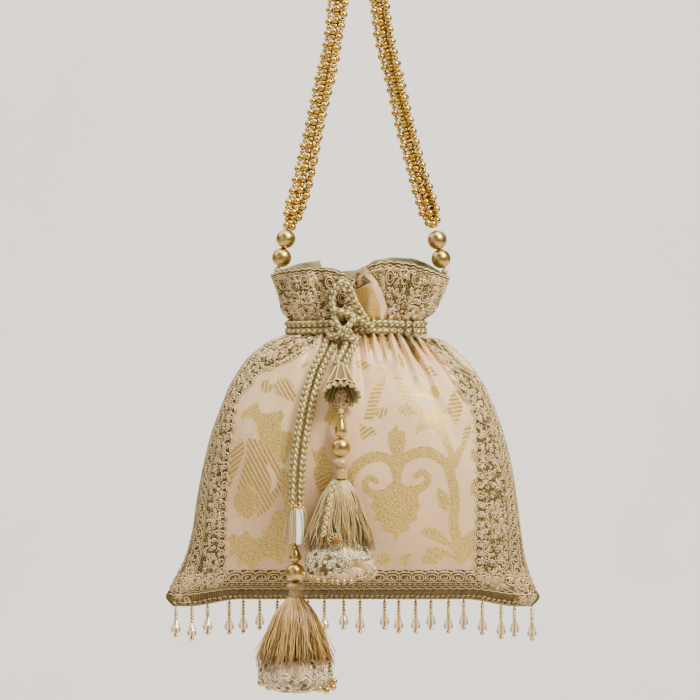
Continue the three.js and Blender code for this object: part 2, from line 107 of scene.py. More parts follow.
def brocadeMaterial():
    # handloom silk brocade: a satin ground with a supplementary gold weft, which lies a little proud; its
    # glints are painted into the gold's colour
    m, put = newMaterial("handloomSilkBrocade")
    motif, phase, striped, border = [put("Attribute", attribute_name=key, out="Fac")
                                     for key in ("motif", "stripe", "striped", "border")]
    cloth = put("UVMap", uv_map="cloth")
    fine = put("TexNoise", {"Vector": cloth, "Scale": 1400, "Detail": 2})
    soft = put("TexNoise", {"Vector": cloth, "Scale": 34, "Detail": 3})
    # woven edges step from thread to thread, so the fine noise frays every outline
    fray = put("MapRange", {0: fine, 1: 0.3, 2: 0.7, 3: -0.35, 4: 0.35})
    frayed = put("Math", {0: motif, 1: fray}, operation="ADD")
    inMotif = put("MapRange", {0: frayed, 1: -0.12, 2: 0.12})
    turns = put("Math", {0: phase, 1: 2 * math.pi / brocadeLook["bar"]}, operation="MULTIPLY")
    wave = put("Math", {0: turns}, operation="SINE")
    gap = put("MapRange", {0: wave, 1: -0.75, 2: -0.45, 3: 1.0, 4: 0.0})
    gaps = put("Math", {0: striped, 1: gap}, operation="MULTIPLY")
    covered = put("Math", {0: 1.0, 1: gaps}, operation="SUBTRACT")
    gold = put("Math", {0: inMotif, 1: covered}, operation="MULTIPLY")
    clouds = put("MapRange", {0: soft, 1: 0.35, 2: 0.65})
    satin = put("Mix", {0: clouds, 6: brocadeLook["satinShade"], 7: brocadeLook["satin"]}, **colourMix)
    # painted glints: fine flecks that lighten the gold towards its highlight colour
    paintedGlints = put("MapRange", {0: fine, 1: 0.42, 2: 0.62, 4: 0.5})
    # the gold weft is bound down in short slanting strokes, a woven twill, painted bright where it floats and
    # deeper where it dips: painted highlights on the floats
    strokes = put("TexWave", {"Vector": cloth, "Scale": waveScale / (brocadeLook["stroke"] * mm),
                              "Distortion": 9, "Detail": 3, "Detail Scale": 2.2},
                  bands_direction="DIAGONAL", out=1)
    share = put("MapRange", {0: striped, 3: 0.5, 4: 0.05})
    bright = put("Math", {0: strokes, 1: share, 2: paintedGlints}, operation="MULTIPLY_ADD")
    glint = put("Mix", {0: bright, 6: brocadeLook["gold"], 7: brocadeLook["goldHighlight"]}, **colourMix)
    cover = put("Math", {0: gold, 1: brocadeLook["goldCover"]}, operation="MULTIPLY")
    woven = put("Mix", {0: cover, 6: satin, 7: glint}, **colourMix)
    inBorder = put("MapRange", {0: border, 1: -0.15, 2: 0.15})
    ground = put("Mix", {0: clouds, 6: brocadeLook["ground"], 7: brocadeLook["groundLight"]}, **colourMix)
    colour = put("Mix", {0: inBorder, 6: woven, 7: ground}, **colourMix)
    metal = put("Math", {0: gold, 1: 0.35}, operation="MULTIPLY")
    rough = put("MapRange", {0: inBorder, 3: 0.36, 4: 0.8})
    weft = put("TexWave",
               {"Vector": cloth, "Scale": waveScale / (brocadeLook["weft"] * mm), "Distortion": 0.4,
                "Detail": 1}, bands_direction="Y", out=1)
    proud = put("Math", {0: fine, 1: gold}, operation="MULTIPLY")
    height = put("Math", {0: weft, 1: 0.25, 2: proud}, operation="MULTIPLY_ADD")
    bump = put("Bump", {"Height": height, "Distance": 0.12 * mm, "Strength": 0.8})
    put("Principled BSDF", {"Base Color": colour, "Metallic": metal, "Roughness": rough, "Normal": bump,
                            "Sheen Weight": 0.08, "Sheen Roughness": 0.4, "Specular IOR Level": 0.55})
    return m


def liningMaterial():
    # cotton satin lining: piece-dyed and matt, with a faint twill line
    m, put = newMaterial("cottonSatinLining")
    cloth = put("UVMap", uv_map="cloth")
    soft = put("TexNoise", {"Vector": cloth, "Scale": 60, "Detail": 4})
    clouds = put("MapRange", {0: soft, 1: 0.3, 2: 0.7})
    colour = put("Mix", {0: clouds, 6: "#7f7a4e", 7: "#989265"}, **colourMix)
    twill = put("TexWave", {"Vector": cloth, "Scale": waveScale / (0.45 * mm), "Distortion": 0.3},
                bands_direction="DIAGONAL", out=1)
    bump = put("Bump", {"Height": twill, "Distance": 0.06 * mm, "Strength": 0.6})
    put("Principled BSDF", {"Base Color": colour, "Roughness": 0.72, "Sheen Weight": 0.2, "Normal": bump})
    return m


def zariMaterial(name, dark, light, metallic, roughness):
    # zari: metal strip wound round a thread, so it glints along its turns; tone says which thread it is, and
    # on pleated and gathered cloth it paints shade and light along the folds
    m, put = newMaterial(name)
    tone = put("Attribute", attribute_name="tone", out="Fac")
    place = put("TexCoord", out="Object")
    turns = put("TexNoise", {"Vector": place, "Scale": 1600, "Detail": 1})
    colour = put("Mix", {0: tone, 6: dark, 7: light}, **colourMix)
    rough = put("MapRange", {0: turns, 1: 0.3, 2: 0.7, 3: roughness - 0.1, 4: roughness + 0.18})
    bump = put("Bump", {"Height": turns, "Distance": 0.08 * mm, "Strength": 0.7})
    put("Principled BSDF", {"Base Color": colour, "Metallic": metallic, "Roughness": rough, "Normal": bump})
    return m


def silkMaterial(name, dark, light, roughness=0.36):
    # filament silk, reeled but unspun: bright along its length; its tone paints it darker where it lies deep
    # in the bundle and lighter and darker along a cloth's gathers, as painted shade and light
    m, put = newMaterial(name)
    tone = put("Attribute", attribute_name="tone", out="Fac")
    place = put("TexCoord", out="Object")
    slub = put("TexNoise", {"Vector": place, "Scale": 900, "Detail": 2})
    uneven = put("MapRange", {0: slub, 1: 0.3, 2: 0.7, 3: -0.12, 4: 0.12})
    # painted shade and light from the tone, with the slubs' own unevenness
    depth = put("Math", {0: tone, 1: uneven}, operation="ADD", use_clamp=True)
    colour = put("Mix", {0: depth, 6: dark, 7: light}, **colourMix)
    bump = put("Bump", {"Height": slub, "Distance": 0.05 * mm, "Strength": 0.4})
    put("Principled BSDF", {"Base Color": colour, "Roughness": roughness, "Sheen Weight": 0.3,
                            "Specular IOR Level": 0.6, "Anisotropic": 0.5, "Normal": bump})
    return m


def metallisedMaterial(name, base, shade, roughness):
    # vacuum-metallised acrylic under lacquer: warm metal, with tiny flow marks and a duller bloom in patches
    m, put = newMaterial(name)
    place = put("TexCoord", out="Object")
    cloud = put("TexNoise", {"Vector": place, "Scale": 420, "Detail": 4})
    patches = put("MapRange", {0: cloud, 1: 0.35, 2: 0.7})
    colour = put("Mix", {0: patches, 6: shade, 7: base}, **colourMix)
    rough = put("MapRange", {0: cloud, 1: 0.3, 2: 0.7, 3: roughness - 0.06, 4: roughness + 0.08})
    bump = put("Bump", {"Height": cloud, "Distance": 0.02 * mm, "Strength": 0.2})
    put("Principled BSDF", {"Base Color": colour, "Metallic": 1.0, "Roughness": rough, "Normal": bump,
                            "Coat Weight": 0.25, "Coat Roughness": 0.12})
    return m


def pearlMaterial():
    # imitation pearl: glass dipped in nacre lacquer, milky with a soft pale gloss
    m, put = newMaterial("nacreDippedGlass")
    place = put("TexCoord", out="Object")
    cloud = put("TexNoise", {"Vector": place, "Scale": 700, "Detail": 2})
    colour = put("Mix", {0: cloud, 6: "#c8a55e", 7: "#eed9a4"}, **colourMix)
    put("Principled BSDF", {"Base Color": colour, "Roughness": 0.24, "Coat Weight": 0.8,
                            "Coat Roughness": 0.1, "Sheen Weight": 0.3})
    return m


def crystalMaterial(name, deep, pale, clear):
    # machine-cut tinted glass: clear, and bright where a facet catches the light
    m, put = newMaterial(name)
    place = put("TexCoord", out="Object")
    cloud = put("TexNoise", {"Vector": place, "Scale": 260, "Detail": 1})
    colour = put("Mix", {0: cloud, 6: deep, 7: pale}, **colourMix)
    put("Principled BSDF", {"Base Color": colour, "Roughness": 0.03, "IOR": 1.56,
                            "Transmission Weight": clear})
    return m


def paperMaterial():
    # matt backdrop paper: pale, with a faint unevenness
    m, put = newMaterial("palePaper")
    place = put("TexCoord", out="Object")
    grain = put("TexNoise", {"Vector": place, "Scale": 6, "Detail": 2})
    colour = put("Mix", {0: grain, 6: "#ded8ce", 7: "#e6e1d9"}, **colourMix)
    put("Principled BSDF", {"Base Color": colour, "Roughness": 0.9})
    return m


satinBrocade = brocadeMaterial()
sageLining = liningMaterial()
silverZari = zariMaterial("silverZariThread", "#6b5a22", "#f2d6a2", 0.35, 0.36)
braidZari = zariMaterial("braidedZariCord", "#7d7132", "#f5e2b0", 0.35, 0.36)
bellCloth = zariMaterial("sageTissueCloth", "#6c602d", "#d3c083", 0.3, 0.42)
ribbonZari = zariMaterial("goldTissueRibbon", "#a8935a", "#ddcf9c", 0.5, 0.36)
laceZari = zariMaterial("silverLaceThread", "#6e5220", "#fff0ca", 0.4, 0.34)
tasselSilk = silkMaterial("looseGoldSilk", "#563405", "#eec36c", 0.3)
shortSilk = silkMaterial("looseOliveSilk", "#4a3508", "#e6c97f", 0.3)
satinWrap = silkMaterial("wrappedSatinFloss", "#6e4f1e", "#cfae6c", 0.24)
peachCloth = silkMaterial("peachHabotaiSilk", "#9c7c54", "#e3c69d", 0.42)
whiteSatin = silkMaterial("whiteSatinRibbon", "#f7f2e8", "#ffffff", 0.3)
goldBead = metallisedMaterial("metallisedGoldAcrylic", "#e8c87e", "#bd9d58", 0.33)
smallGold = metallisedMaterial("metallisedGoldSeed", "#f0cf6c", "#cfa646", 0.26)
paleGold = metallisedMaterial("metallisedPaleSeed", "#f6e3a0", "#dcc07a", 0.26)
ivoryPearl = pearlMaterial()
peachCrystal = crystalMaterial("cutPeachGlass", "#f0cf9c", "#fff3dc", 0.97)
amberGlass = crystalMaterial("cutAmberGlass", "#a8651c", "#d9953c", 0.6)
print("materials mixed")


# mesh tools

def keep(name, verts, faces, body, materials, nodes=(), attributes=None, uv=None, smooth=True,
         faceMaterials=None):
    # makes a piece from arrays in millimetres, hangs it on the body it rides on and hides the parts it stands
    # for
    mesh = bpy.data.meshes.new(name)
    mesh.from_pydata((np.asarray(verts) * mm).tolist(), [], faces if isinstance(faces,
                                                                                list) else faces.tolist())
    for material in materials:
        mesh.materials.append(material)
    if faceMaterials is not None:
        mesh.polygons.foreach_set("material_index", np.asarray(faceMaterials, dtype=np.int32))
    for key, values in (attributes or {}).items():
        mesh.attributes.new(key, "FLOAT", "POINT").data.foreach_set("value",
                                                                    np.asarray(values, dtype=np.float32))
    if uv is not None:
        corner = np.empty(len(mesh.loops), dtype=np.int32)
        mesh.loops.foreach_get("vertex_index", corner)
        mesh.uv_layers.new(name="cloth").data.foreach_set(
            "uv", (np.asarray(uv)[corner] * mm).astype(np.float32).ravel())
    mesh.polygons.foreach_set("use_smooth", [smooth] * len(mesh.polygons))
    mesh.update()
    piece = bpy.data.objects.new(name, mesh)
    bpy.context.collection.objects.link(piece)
    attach(piece, body)
    if nodes:
        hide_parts(*nodes)
    return piece


def keepWork(name, work, body, material, nodes=()):
    # a piece of one material, from (verts, faces, tone)
    return keep(name, work[0], work[1], body, [material], nodes, {"tone": work[2]})


def unit(v):
    return v / np.maximum(np.linalg.norm(v, axis=-1, keepdims=True), 1e-9)


def runAlong(points):
    # how far along a line each of its points lies
    return np.concatenate([[0], np.cumsum(np.linalg.norm(np.diff(points, axis=0), axis=1))])


def quadGrid(rows, columns, closed=True):
    # faces between neighbouring rows of points; a closed row joins its ends
    i = np.arange(rows - 1)[:, None] * columns
    j = np.arange(columns if closed else columns - 1)[None, :]
    j2 = (j + 1) % columns
    return np.stack([i + j, i + j2, i + columns + j2, i + columns + j], axis=-1).reshape(-1, 4)


def carriedUp(tangent):
    # a direction square to a line, carried along it without twist
    up = np.empty_like(tangent)
    up[0] = Vector(tangent[0]).orthogonal().normalized()
    for i in range(1, len(tangent)):
        up[i] = unit(up[i - 1] - tangent[i] * np.dot(up[i - 1], tangent[i]))
    return up


def sweep(paths, radii, sides=4, normals=None, tones=None, flat=1.0):
    # round threads along polylines in millimetres: one mesh's arrays, each thread a closed tube
    verts, faces, tone, base = [], [], [], 0
    turns = 2 * math.pi * (np.arange(sides) + 0.5) / sides
    for k, path in enumerate(paths):
        p = np.asarray(path, dtype=float)
        n = len(p)
        tangent = unit(np.gradient(p, axis=0))
        if normals is not None:
            up = np.asarray(normals[k], dtype=float)
            up = unit(up - tangent * np.sum(up * tangent, axis=1, keepdims=True))
        else:
            up = carriedUp(tangent)
        across = np.cross(tangent, up)
        r = np.asarray(radii[k] if np.ndim(radii) else radii, dtype=float) * np.ones(n)
        ring = (across[:, None, :] * np.cos(turns)[None, :, None]
                + up[:, None, :] * (flat * np.sin(turns))[None, :, None]) * r[:, None, None] + p[:, None, :]
        verts.append(ring.reshape(-1, 3))
        faces.extend((quadGrid(n, sides) + base).tolist())
        faces.append([base + m for m in range(sides)][::-1])
        faces.append([base + (n - 1) * sides + m for m in range(sides)])
        value = tones[k] if tones is not None else 0.5
        tone.append(np.full(n * sides, value) if np.ndim(value) == 0 else np.repeat(value, sides))
        base += n * sides
    return np.concatenate(verts), faces, np.concatenate(tone)


def gather(*parts):
    # several (verts, faces, tone) into one
    verts, faces, tone, base = [], [], [], 0
    for v, f, t in parts:
        verts.append(v)
        faces.extend([[a + base for a in face] for face in f])
        tone.append(t)
        base += len(v)
    return np.concatenate(verts), faces, np.concatenate(tone)


def strew(shape, places, axes, scales):
    # copies of one shape at places, its Z axis turned along axes
    verts, faces = shape
    parts = []
    for k, (place, axis) in enumerate(zip(places, axes)):
        turn = np.array(Vector(axis).to_track_quat("Z", "Y").to_matrix())
        parts.append((verts @ turn.T * scales[k] + place, faces, np.full(len(verts), 0.5)))
    return gather(*parts)


def smoothLine(points, steps):
    # a Catmull-Rom line through points, with steps between each two
    p = np.asarray(points, dtype=float)
    n = len(p)
    out = []
    for i in range(n - 1):
        a, b = p[i], p[i + 1]
        before = p[i - 1] if i > 0 else 2 * a - b
        after = p[i + 2] if i < n - 2 else 2 * b - a
        t = np.arange(steps)[:, None] / steps
        out.append(0.5 * (2 * a + (b - before) * t + (2 * before - 5 * a + 4 * b - after) * t ** 2
                          + (3 * a - before - 3 * b + after) * t ** 3))
    out.append(p[-1:])
    return np.concatenate(out)


def evenly(path, step):
    # the same line with points step apart
    p = np.asarray(path, dtype=float)
    length = runAlong(p)
    count = max(2, int(round(length[-1] / step)) + 1)
    s = np.linspace(0, length[-1], count)
    return np.stack([np.interp(s, length, p[:, k]) for k in range(p.shape[1])], axis=1)


# the pouch's skin

# height: half width, centre, half depth, and how lens-like the section is (1 is an ellipse)
profile = np.array([
    [0, 103.6, -3.6, 1.8, 1.3], [5, 107.9, -3.6, 7.5, 1.3], [11, 105.1, -3.7, 13.5, 1.3],
    [27, 98.2, -2.4, 24.5, 1.25], [42, 94.8, -1.4, 31, 1.2], [62, 91.9, -1.2, 36.2, 1.15],
    [79, 89, -0.9, 38.3, 1.1], [102, 83.2, -0.9, 37.8, 1.05], [116, 78, -0.9, 35.6, 1],
    [132, 70.3, -1.2, 30.6, 1], [147, 57.9, -1.6, 24, 1], [154, 47.6, -1.3, 18.8, 1],
    [158, 37, -1.6, 14.2, 1], [161, 35.2, -1.7, 13.4, 1], [164, 36.6, -1.6, 13.7, 1],
    [168, 42, -0.9, 15.4, 1], [177, 46.5, 0.6, 18.2, 1], [191, 51.6, 0.6, 21, 1.1]])
levels = np.arange(0, 191.01, 0.5)


def profileTable():
    # the profile at every level, on a cubic through its rows
    rows = profile
    slopes = np.gradient(rows[:, 1:], rows[:, 0], axis=0)
    i = np.clip(np.searchsorted(rows[:, 0], levels, side="right") - 1, 0, len(rows) - 2)
    span = (rows[i + 1, 0] - rows[i, 0])[:, None]
    t = ((levels - rows[i, 0])[:, None]) / span
    return ((2 * t ** 3 - 3 * t ** 2 + 1) * rows[i, 1:] + (t ** 3 - 2 * t ** 2 + t) * slopes[i] * span
            + (3 * t ** 2 - 2 * t ** 3) * rows[i + 1, 1:] + (t ** 3 - t ** 2) * slopes[i + 1] * span)


fineProfile = profileTable()


def ease(low, high, x):
    t = np.clip((x - low) / (high - low), 0, 1)
    return t * t * (3 - 2 * t)


# Folds of the front, each as (x at the neck, x at its lower end, height of that end, how deep, how wide), in
# mm
frontFolds = [(-33, -62, 118, 1.6, 4), (-27, -47, 112, 1.5, 4.2), (-21, -30, 121, 1.9, 3.4),
              (-14, -17, 110, 1.9, 4), (-4, -3, 116, 3.4, 3.6), (3, 5, 139, 2.2, 2.4),
              (8, 10, 141, 2.8, 2.3), (13, 16, 140, 2.6, 2.3), (18, 24, 131, 2.8, 3), (22, 38, 124, 3, 3),
              (27, 51, 112, 4.2, 3.2), (31, 60, 102, 3.6, 3.6), (34, 72, 104, 1.6, 4.2)]
backFolds = [(-32, -63, 112, 1.8, 4), (-25, -44, 118, 2.2, 3.6), (-18, -27, 106, 2, 4),
             (-10, -16, 122, 2.4, 3), (-3, -3, 112, 2.2, 3.6), (4, 7, 124, 2.4, 2.8),
             (11, 19, 110, 2.2, 3.8), (18, 32, 120, 2.6, 3.2), (26, 47, 110, 2.2, 4),
             (32, 63, 116, 1.8, 3.8)]
seamRise = 4.2  # how far the middle of the bottom seam stands above its corners
collar = {"frill": 1.7, "split": -1.5, "splitDepth": 5.5, "splitWidth": 5.0,
          "fold": 5.5, "foldWidth": 4.6, "foldHeight": 5.0}
# the collar's top edge as (x, height), front and back
frontEdge = np.array([[-53, 190.5], [-46, 193.6], [-30, 195.4], [-16, 194.6], [-8, 191.6], [-3.4, 188.6],
                      [-1.6, 192.6], [2, 194.8], [10, 198.4], [18, 199.4], [30, 198], [40, 194.8],
                      [53, 189.6]])
backEdge = np.array([[-53, 190.5], [-45, 194.6], [-35, 198], [-24.4, 199.6], [-23.2, 194.2], [-10, 193.4],
                     [0, 194.5], [9, 199.4], [18, 201.6], [32, 200.8], [41, 197.2], [53, 189.6]])


def leanAt(h):
    # the tassels' weight in front swings the pouch back below its handle
    return 0.04 * (193.5 - h)


def profileAt(h):
    # half width, centre, half depth and lens shape at a height
    return [np.interp(h, levels, fineProfile[:, k]) for k in range(4)]


def skin(side, u, h):
    # a point of the cloth in mm; u from -1 at the left seam to 1 at the right, side -1 for the front
    u, h = np.broadcast_arrays(np.asarray(u, float), np.asarray(h, float))
    top = frontEdge if side < 0 else backEdge
    halfWidth, centre, depth, lens = profileAt(h)
    angle = u * math.pi / 2
    sine, across = np.sin(angle), np.maximum(np.cos(angle), 0)
    x = centre + halfWidth * sine
    neckX = sine * 36
    rise = seamRise * (1 - ease(0.62, 0.92, np.abs(sine))) * (1 - ease(0, 40, h))
    edge = np.interp(x, top[:, 0], top[:, 1]) - 191
    z = h + rise + edge * ease(172, 191, h)
    y = depth * across ** lens + 0.2
    # gathers below the neck
    fold = np.zeros_like(y)
    for atNeck, atEnd, endHeight, deep, wide in (frontFolds if side < 0 else backFolds):
        t = np.clip((158 - h) / (158 - endHeight), 0, 1.6)
        line = atNeck + (atEnd - atNeck) * t ** 0.85
        width = wide * (0.45 + 0.9 * t)
        fade = np.clip(1 - t, 0, 1) ** 0.8 * ease(171, 160, h) * (1.25 + 0.9 * ease(138, 155, h))
        local = (x - line) / width
        fold += deep * fade * (np.exp(-local ** 2) - 0.55 * np.exp(-((local - 1.35) / 0.7) ** 2))
    # the collar's frill above the cord
    wave = np.sin(neckX * 0.42 + 0.8 * side) + 0.6 * np.sin(neckX * 0.87 + 2.1 + side)
    fold += collar["frill"] * wave * ease(162, 184, h) * across ** 0.6
    if side < 0:
        notch = np.exp(-((x - collar["split"]) / collar["splitWidth"]) ** 2)
        fold -= collar["splitDepth"] * notch * ease(166, 186, h)
        # the brocade that stands out at the collar's middle
        proud = np.exp(-((x - collar["fold"] - 0.12 * (h - 172)) / collar["foldWidth"]) ** 2)
        fold += collar["foldHeight"] * proud * ease(160, 168, h) * ease(190, 180, h)
    # slack in the belly, and the corners' puckers
    slack = (0.9 * np.sin(x / 21 + h / 33 + side) * np.sin(h / 19 + x / 47)
             + 0.5 * np.sin(x / 9.5 + h / 14 + 2))
    fold += slack * ease(8, 40, h) * ease(158, 120, h) * across ** 0.5
    y = np.maximum(y + fold * np.minimum(1, across * 3), 0.12)
    return np.stack([x, leanAt(h) + side * y, z + seamZ], axis=-1)


def cloth(side, u, h, off=0.0):
    # points of the cloth lifted off it by off, and the outward normals there
    u = np.clip(np.asarray(u, float), -1, 1)
    h = np.clip(np.asarray(h, float), 0, 191)
    du, dh = 0.004, 0.4
    alongU = skin(side, np.clip(u + du, -1, 1), h) - skin(side, np.clip(u - du, -1, 1), h)
    alongH = skin(side, u, np.clip(h + dh, 0, 191)) - skin(side, u, np.clip(h - dh, 0, 191))
    normal = unit(np.cross(alongU, alongH) * (1 if side < 0 else -1))
    return skin(side, u, h) + normal * np.asarray(off)[..., None], normal


def seamTable():
    # the angle parameter at each distance along the cloth from the side seam, at each height
    heights = np.arange(0, 191.1, 2.0)
    us = np.linspace(-1, 0, 121)
    distances = np.arange(0, 61.0, 1.0)
    rows = []
    for height in heights:
        halfWidth, centre, depth, lens = profileAt(height)
        a = us * math.pi / 2
        p = np.stack([halfWidth * np.sin(a), depth * np.maximum(np.cos(a), 0) ** lens], axis=-1)
        rows.append(np.interp(distances, runAlong(p), us))
    return heights, distances, np.array(rows)


tableHeights, tableDistances, tableU = seamTable()


def sideU(edge, inward, height):
    # edge is -1 for the left seam and 1 for the right one
    i = np.clip(np.asarray(height, float) / 2.0, 0, len(tableHeights) - 1.001)
    j = np.clip(np.asarray(inward, float), 0, 59.99)
    i0, j0 = i.astype(int), j.astype(int)
    fi, fj = i - i0, j - j0
    value = (tableU[i0, j0] * (1 - fi) * (1 - fj) + tableU[i0 + 1, j0] * fi * (1 - fj)
             + tableU[i0, j0 + 1] * (1 - fi) * fj + tableU[i0 + 1, j0 + 1] * fi * fj)
    return value if edge < 0 else -value


print("skin ready")


# the braided drawstring

cordLook = {"reach": 1.42, "crossing": 0.34, "silver": 0.82, "olive": 1.06, "flat": 0.58, "pitch": 13.4,
            "step": 0.75, "apart": 4.9, "diameter": 4.5}


def braid(path, phase=0.0, size=1.0):
    # eight strands round a core, four each way, each over one and under the next; silver one way, olive the
    # other
    p = evenly(path, cordLook["step"])
    tangent = unit(np.gradient(p, axis=0))
    up = carriedUp(tangent)
    across = np.cross(tangent, up)
    along = np.arange(len(p)) * cordLook["step"]
    paths, normals, tones, radii = [], [], [], []
    for way in (1, -1):
        for k in range(4):
            angle = way * 2 * math.pi * along / cordLook["pitch"] + k * math.pi / 2 + phase
            reach = size * (cordLook["reach"] + way * cordLook["crossing"] * np.cos(4 * (angle - phase)))
            out = across * np.cos(angle)[:, None] + up * np.sin(angle)[:, None]
            paths.append(p + out * reach[:, None])
            normals.append(out)
            tones.append(dice.uniform(0.82, 1.0) if way > 0 else dice.uniform(0.0, 0.22))
            radii.append(size * cordLook["silver" if way > 0 else "olive"])
    core = sweep([p], cordLook["reach"] * 0.8 * size, 6, [up], [0.05])
    return gather(core, sweep(paths, radii, 6, normals, tones, cordLook["flat"]))


def frontY(x, h):
    # the front's smooth shape without its folds
    halfWidth, centre, depth, lens = profileAt(h)
    share = np.clip((x - centre) / halfWidth, -1, 1)
    return leanAt(h) - (0.2 + depth * (1 - share ** 2) ** (lens / 2))


def onFront(route, shift):
    # a smooth line through (x, height, distance in front), moved sideways by shift
    return smoothLine([(x + shift, frontY(x, h) - off, h + seamZ) for x, h, off in route], 10)


longRoute = [(-13.2, 157.6, 5.6), (-15.6, 153.4, 4.6), (-19.2, 146, 4.0), (-24.4, 135, 3.6),
             (-28.8, 120, 3.3),
             (-32.2, 102, 3.3), (-34.6, 84, 3.7), (-35.6, 70, 4.6), (-35.9, 59.5, 6.2), (-36.1, 54.5, 6.4)]
cords = {}
for name, node, shift in (("longCordLeft", "long_cord_left", -1), ("longCordRight", "long_cord_right", 1)):
    path = onFront(longRoute, shift * cordLook["apart"] / 2)
    cords[name] = (keepWork(name, braid(path, 0.4 * shift), "pouch", braidZari, [node]), path)

# the short pair comes out of the knot and ends in its bell
bellMouth = {"x": -10.4, "y": -29.4, "top": 139.0, "lean": 0.66}
shortRoute = [(-5.2, 153.2, 5.2), (-6.4, 148.5, 4.9), (-8.8, 144, 4.9), (-10.0, 140.6, 5.0)]
for name, node, shift in (("shortCordLeft", "short_cord_left", -1),
                          ("shortCordRight", "short_cord_right", 1)):
    halfGap = shift * cordLook["apart"] / 2
    path = smoothLine([(-8.6 + halfGap * 0.6, -21.6, 161.0 + seamZ)]
                      + [(x + halfGap * 0.96, frontY(x, h) - off, h + seamZ) for x, h, off in shortRoute]
                      + [(-10.4 + halfGap * 0.7, -33.4, 133.0 + seamZ),
                         (-10.4 + halfGap * 0.6, -37.4, 127.6 + seamZ)], 10)
    cords[name] = (keepWork(name, braid(path, 0.4 * shift, 0.9), "pouch", braidZari, [node]), path)


def neckPath(h):
    # once round the neck at one height, from the knot back to it
    halfWidth, centre, depth = profileAt(161)[:3]
    t = np.linspace(0.02, 0.98, 160) * 2 * math.pi + 4.5
    away = 3.9
    return np.stack([centre + (halfWidth + away) * np.cos(t), leanAt(161) + (depth + 0.2 + away) * np.sin(t),
                     seamZ + h + 0.35 * np.sin(3 * t)], axis=1)


neck = gather(braid(neckPath(163.1), 0.2), braid(neckPath(159.0), 0.9))
keepWork("neckCords", neck, "pouch", braidZari, ["neck_cord"])

# the knot: wraps that cross in front of the neck, a strand that runs off to the right, and the bow's loop
# above
knotWraps = [
    [(-17.6, -19.6, 158.2), (-15.6, -24.6, 155.4), (-10.6, -28.4, 157.4), (-5.6, -28.2, 162.2),
     (-2.6, -24.6, 166.8), (-3.4, -20.6, 169.6)],
    [(-0.6, -19.8, 155.6), (-3.2, -23.8, 154.0), (-7.8, -25.2, 156.2), (-12.4, -25.8, 162.4),
     (-14.2, -24.0, 168.0), (-13.6, -21.4, 171.6)],
    [(-15.0, -22.6, 170.4), (-10.6, -26.6, 170.0), (-4.6, -26.0, 167.8), (1.8, -23.2, 164.6),
     (7.6, -20.0, 161.0)]]
parts = [braid(smoothLine([(x, y, z + seamZ) for x, y, z in wrap], 10), 0.5 * k, 0.92)
         for k, wrap in enumerate(knotWraps)]
keepWork("knotWraps", gather(*parts), "pouch", braidZari, ["knot"])
bowPoints = [(-13.5, -25.2, 168.4), (-15.4, -24.4, 175), (-13.9, -24.8, 182.4), (-9.6, -25.4, 186.4),
             (-5.4, -25.2, 183.2), (-2.2, -24.6, 176), (1.6, -23.8, 169.2), (4.6, -22.6, 165.0)]
bow = braid(smoothLine([(x, y, z + seamZ) for x, y, z in bowPoints], 10), 0.3, 0.92)
keepWork("bowLoop", bow, "pouch", braidZari, ["bow_loop"])
print("cords braided")


# woven motifs, drawn flat as (x, height) in mm and laid on the front; the back has them mirrored

def besideEdge(px, pz, a, b):
    # for each point, its share of the way along an edge, and its offset from the nearest place on it
    ex, ez = b[0] - a[0], b[1] - a[1]
    wx, wz = px - a[0], pz - a[1]
    t = np.clip((wx * ex + wz * ez) / max(ex * ex + ez * ez, 1e-9), 0, 1)
    return t, wx - ex * t, wz - ez * t


def polygonDistance(px, pz, shape):
    # signed distance to a closed outline, positive inside
    best = np.full(px.shape, 1e9)
    inside = np.zeros(px.shape, bool)
    for (ax, az), (bx, bz) in zip(shape, np.roll(shape, -1, axis=0)):
        t, dx, dz = besideEdge(px, pz, (ax, az), (bx, bz))
        best = np.minimum(best, dx ** 2 + dz ** 2)
        if az != bz:
            inside ^= ((az > pz) != (bz > pz)) & (px < (bx - ax) * (pz - az) / (bz - az) + ax)
    return np.where(inside, 1, -1) * np.sqrt(best)


def lineDistance(px, pz, line, halfWidths):
    # signed distance to a line that has a half width at each point, positive inside
    best = np.full(px.shape, -1e9)
    for k in range(len(line) - 1):
        t, dx, dz = besideEdge(px, pz, line[k], line[k + 1])
        half = halfWidths[k] * (1 - t) + halfWidths[k + 1] * t
        best = np.maximum(best, half - np.hypot(dx, dz))
    return best


class Weaving:
    # the fields that the brocade's material reads
    def __init__(self, x, z):
        self.x, self.z = x, z
        self.motif = np.full(x.shape, -9.0)
        self.stripe = np.zeros(x.shape)
        self.striped = np.zeros(x.shape)

    def near(self, points, margin):
        low, high = np.min(points, axis=0) - margin, np.max(points, axis=0) + margin
        return (self.x > low[0]) & (self.x < high[0]) & (self.z > low[1]) & (self.z < high[1])

    def fill(self, shape, stripes=None):
        # stripes is the bars' direction in degrees, or None for a plain gold field
        here = self.near(shape, 4)
        d = polygonDistance(self.x[here], self.z[here], np.asarray(shape, float))
        won = d > np.minimum(self.motif[here], 0.25)
        self.motif[here] = np.maximum(self.motif[here], d)
        phase, flag = self.stripe[here], self.striped[here]
        if stripes is not None:
            a = math.radians(stripes + 90)
            phase[won] = (self.x[here] * math.cos(a) + self.z[here] * math.sin(a))[won]
        flag[won] = 0.0 if stripes is None else 1.0
        self.stripe[here], self.striped[here] = phase, flag

    def line(self, points, halfWidths, cut=False):
        line = smoothLine(points, 6)
        widths = np.interp(np.linspace(0, 1, len(line)), np.linspace(0, 1, len(halfWidths)), halfWidths)
        here = self.near(line, 4)
        d = lineDistance(self.x[here], self.z[here], line, widths)
        if cut:
            self.motif[here] = np.minimum(self.motif[here], -d)
        else:
            flag = self.striped[here]
            flag[d > np.minimum(self.motif[here], 0.25)] = 0.0
            self.motif[here] = np.maximum(self.motif[here], d)
            self.striped[here] = flag


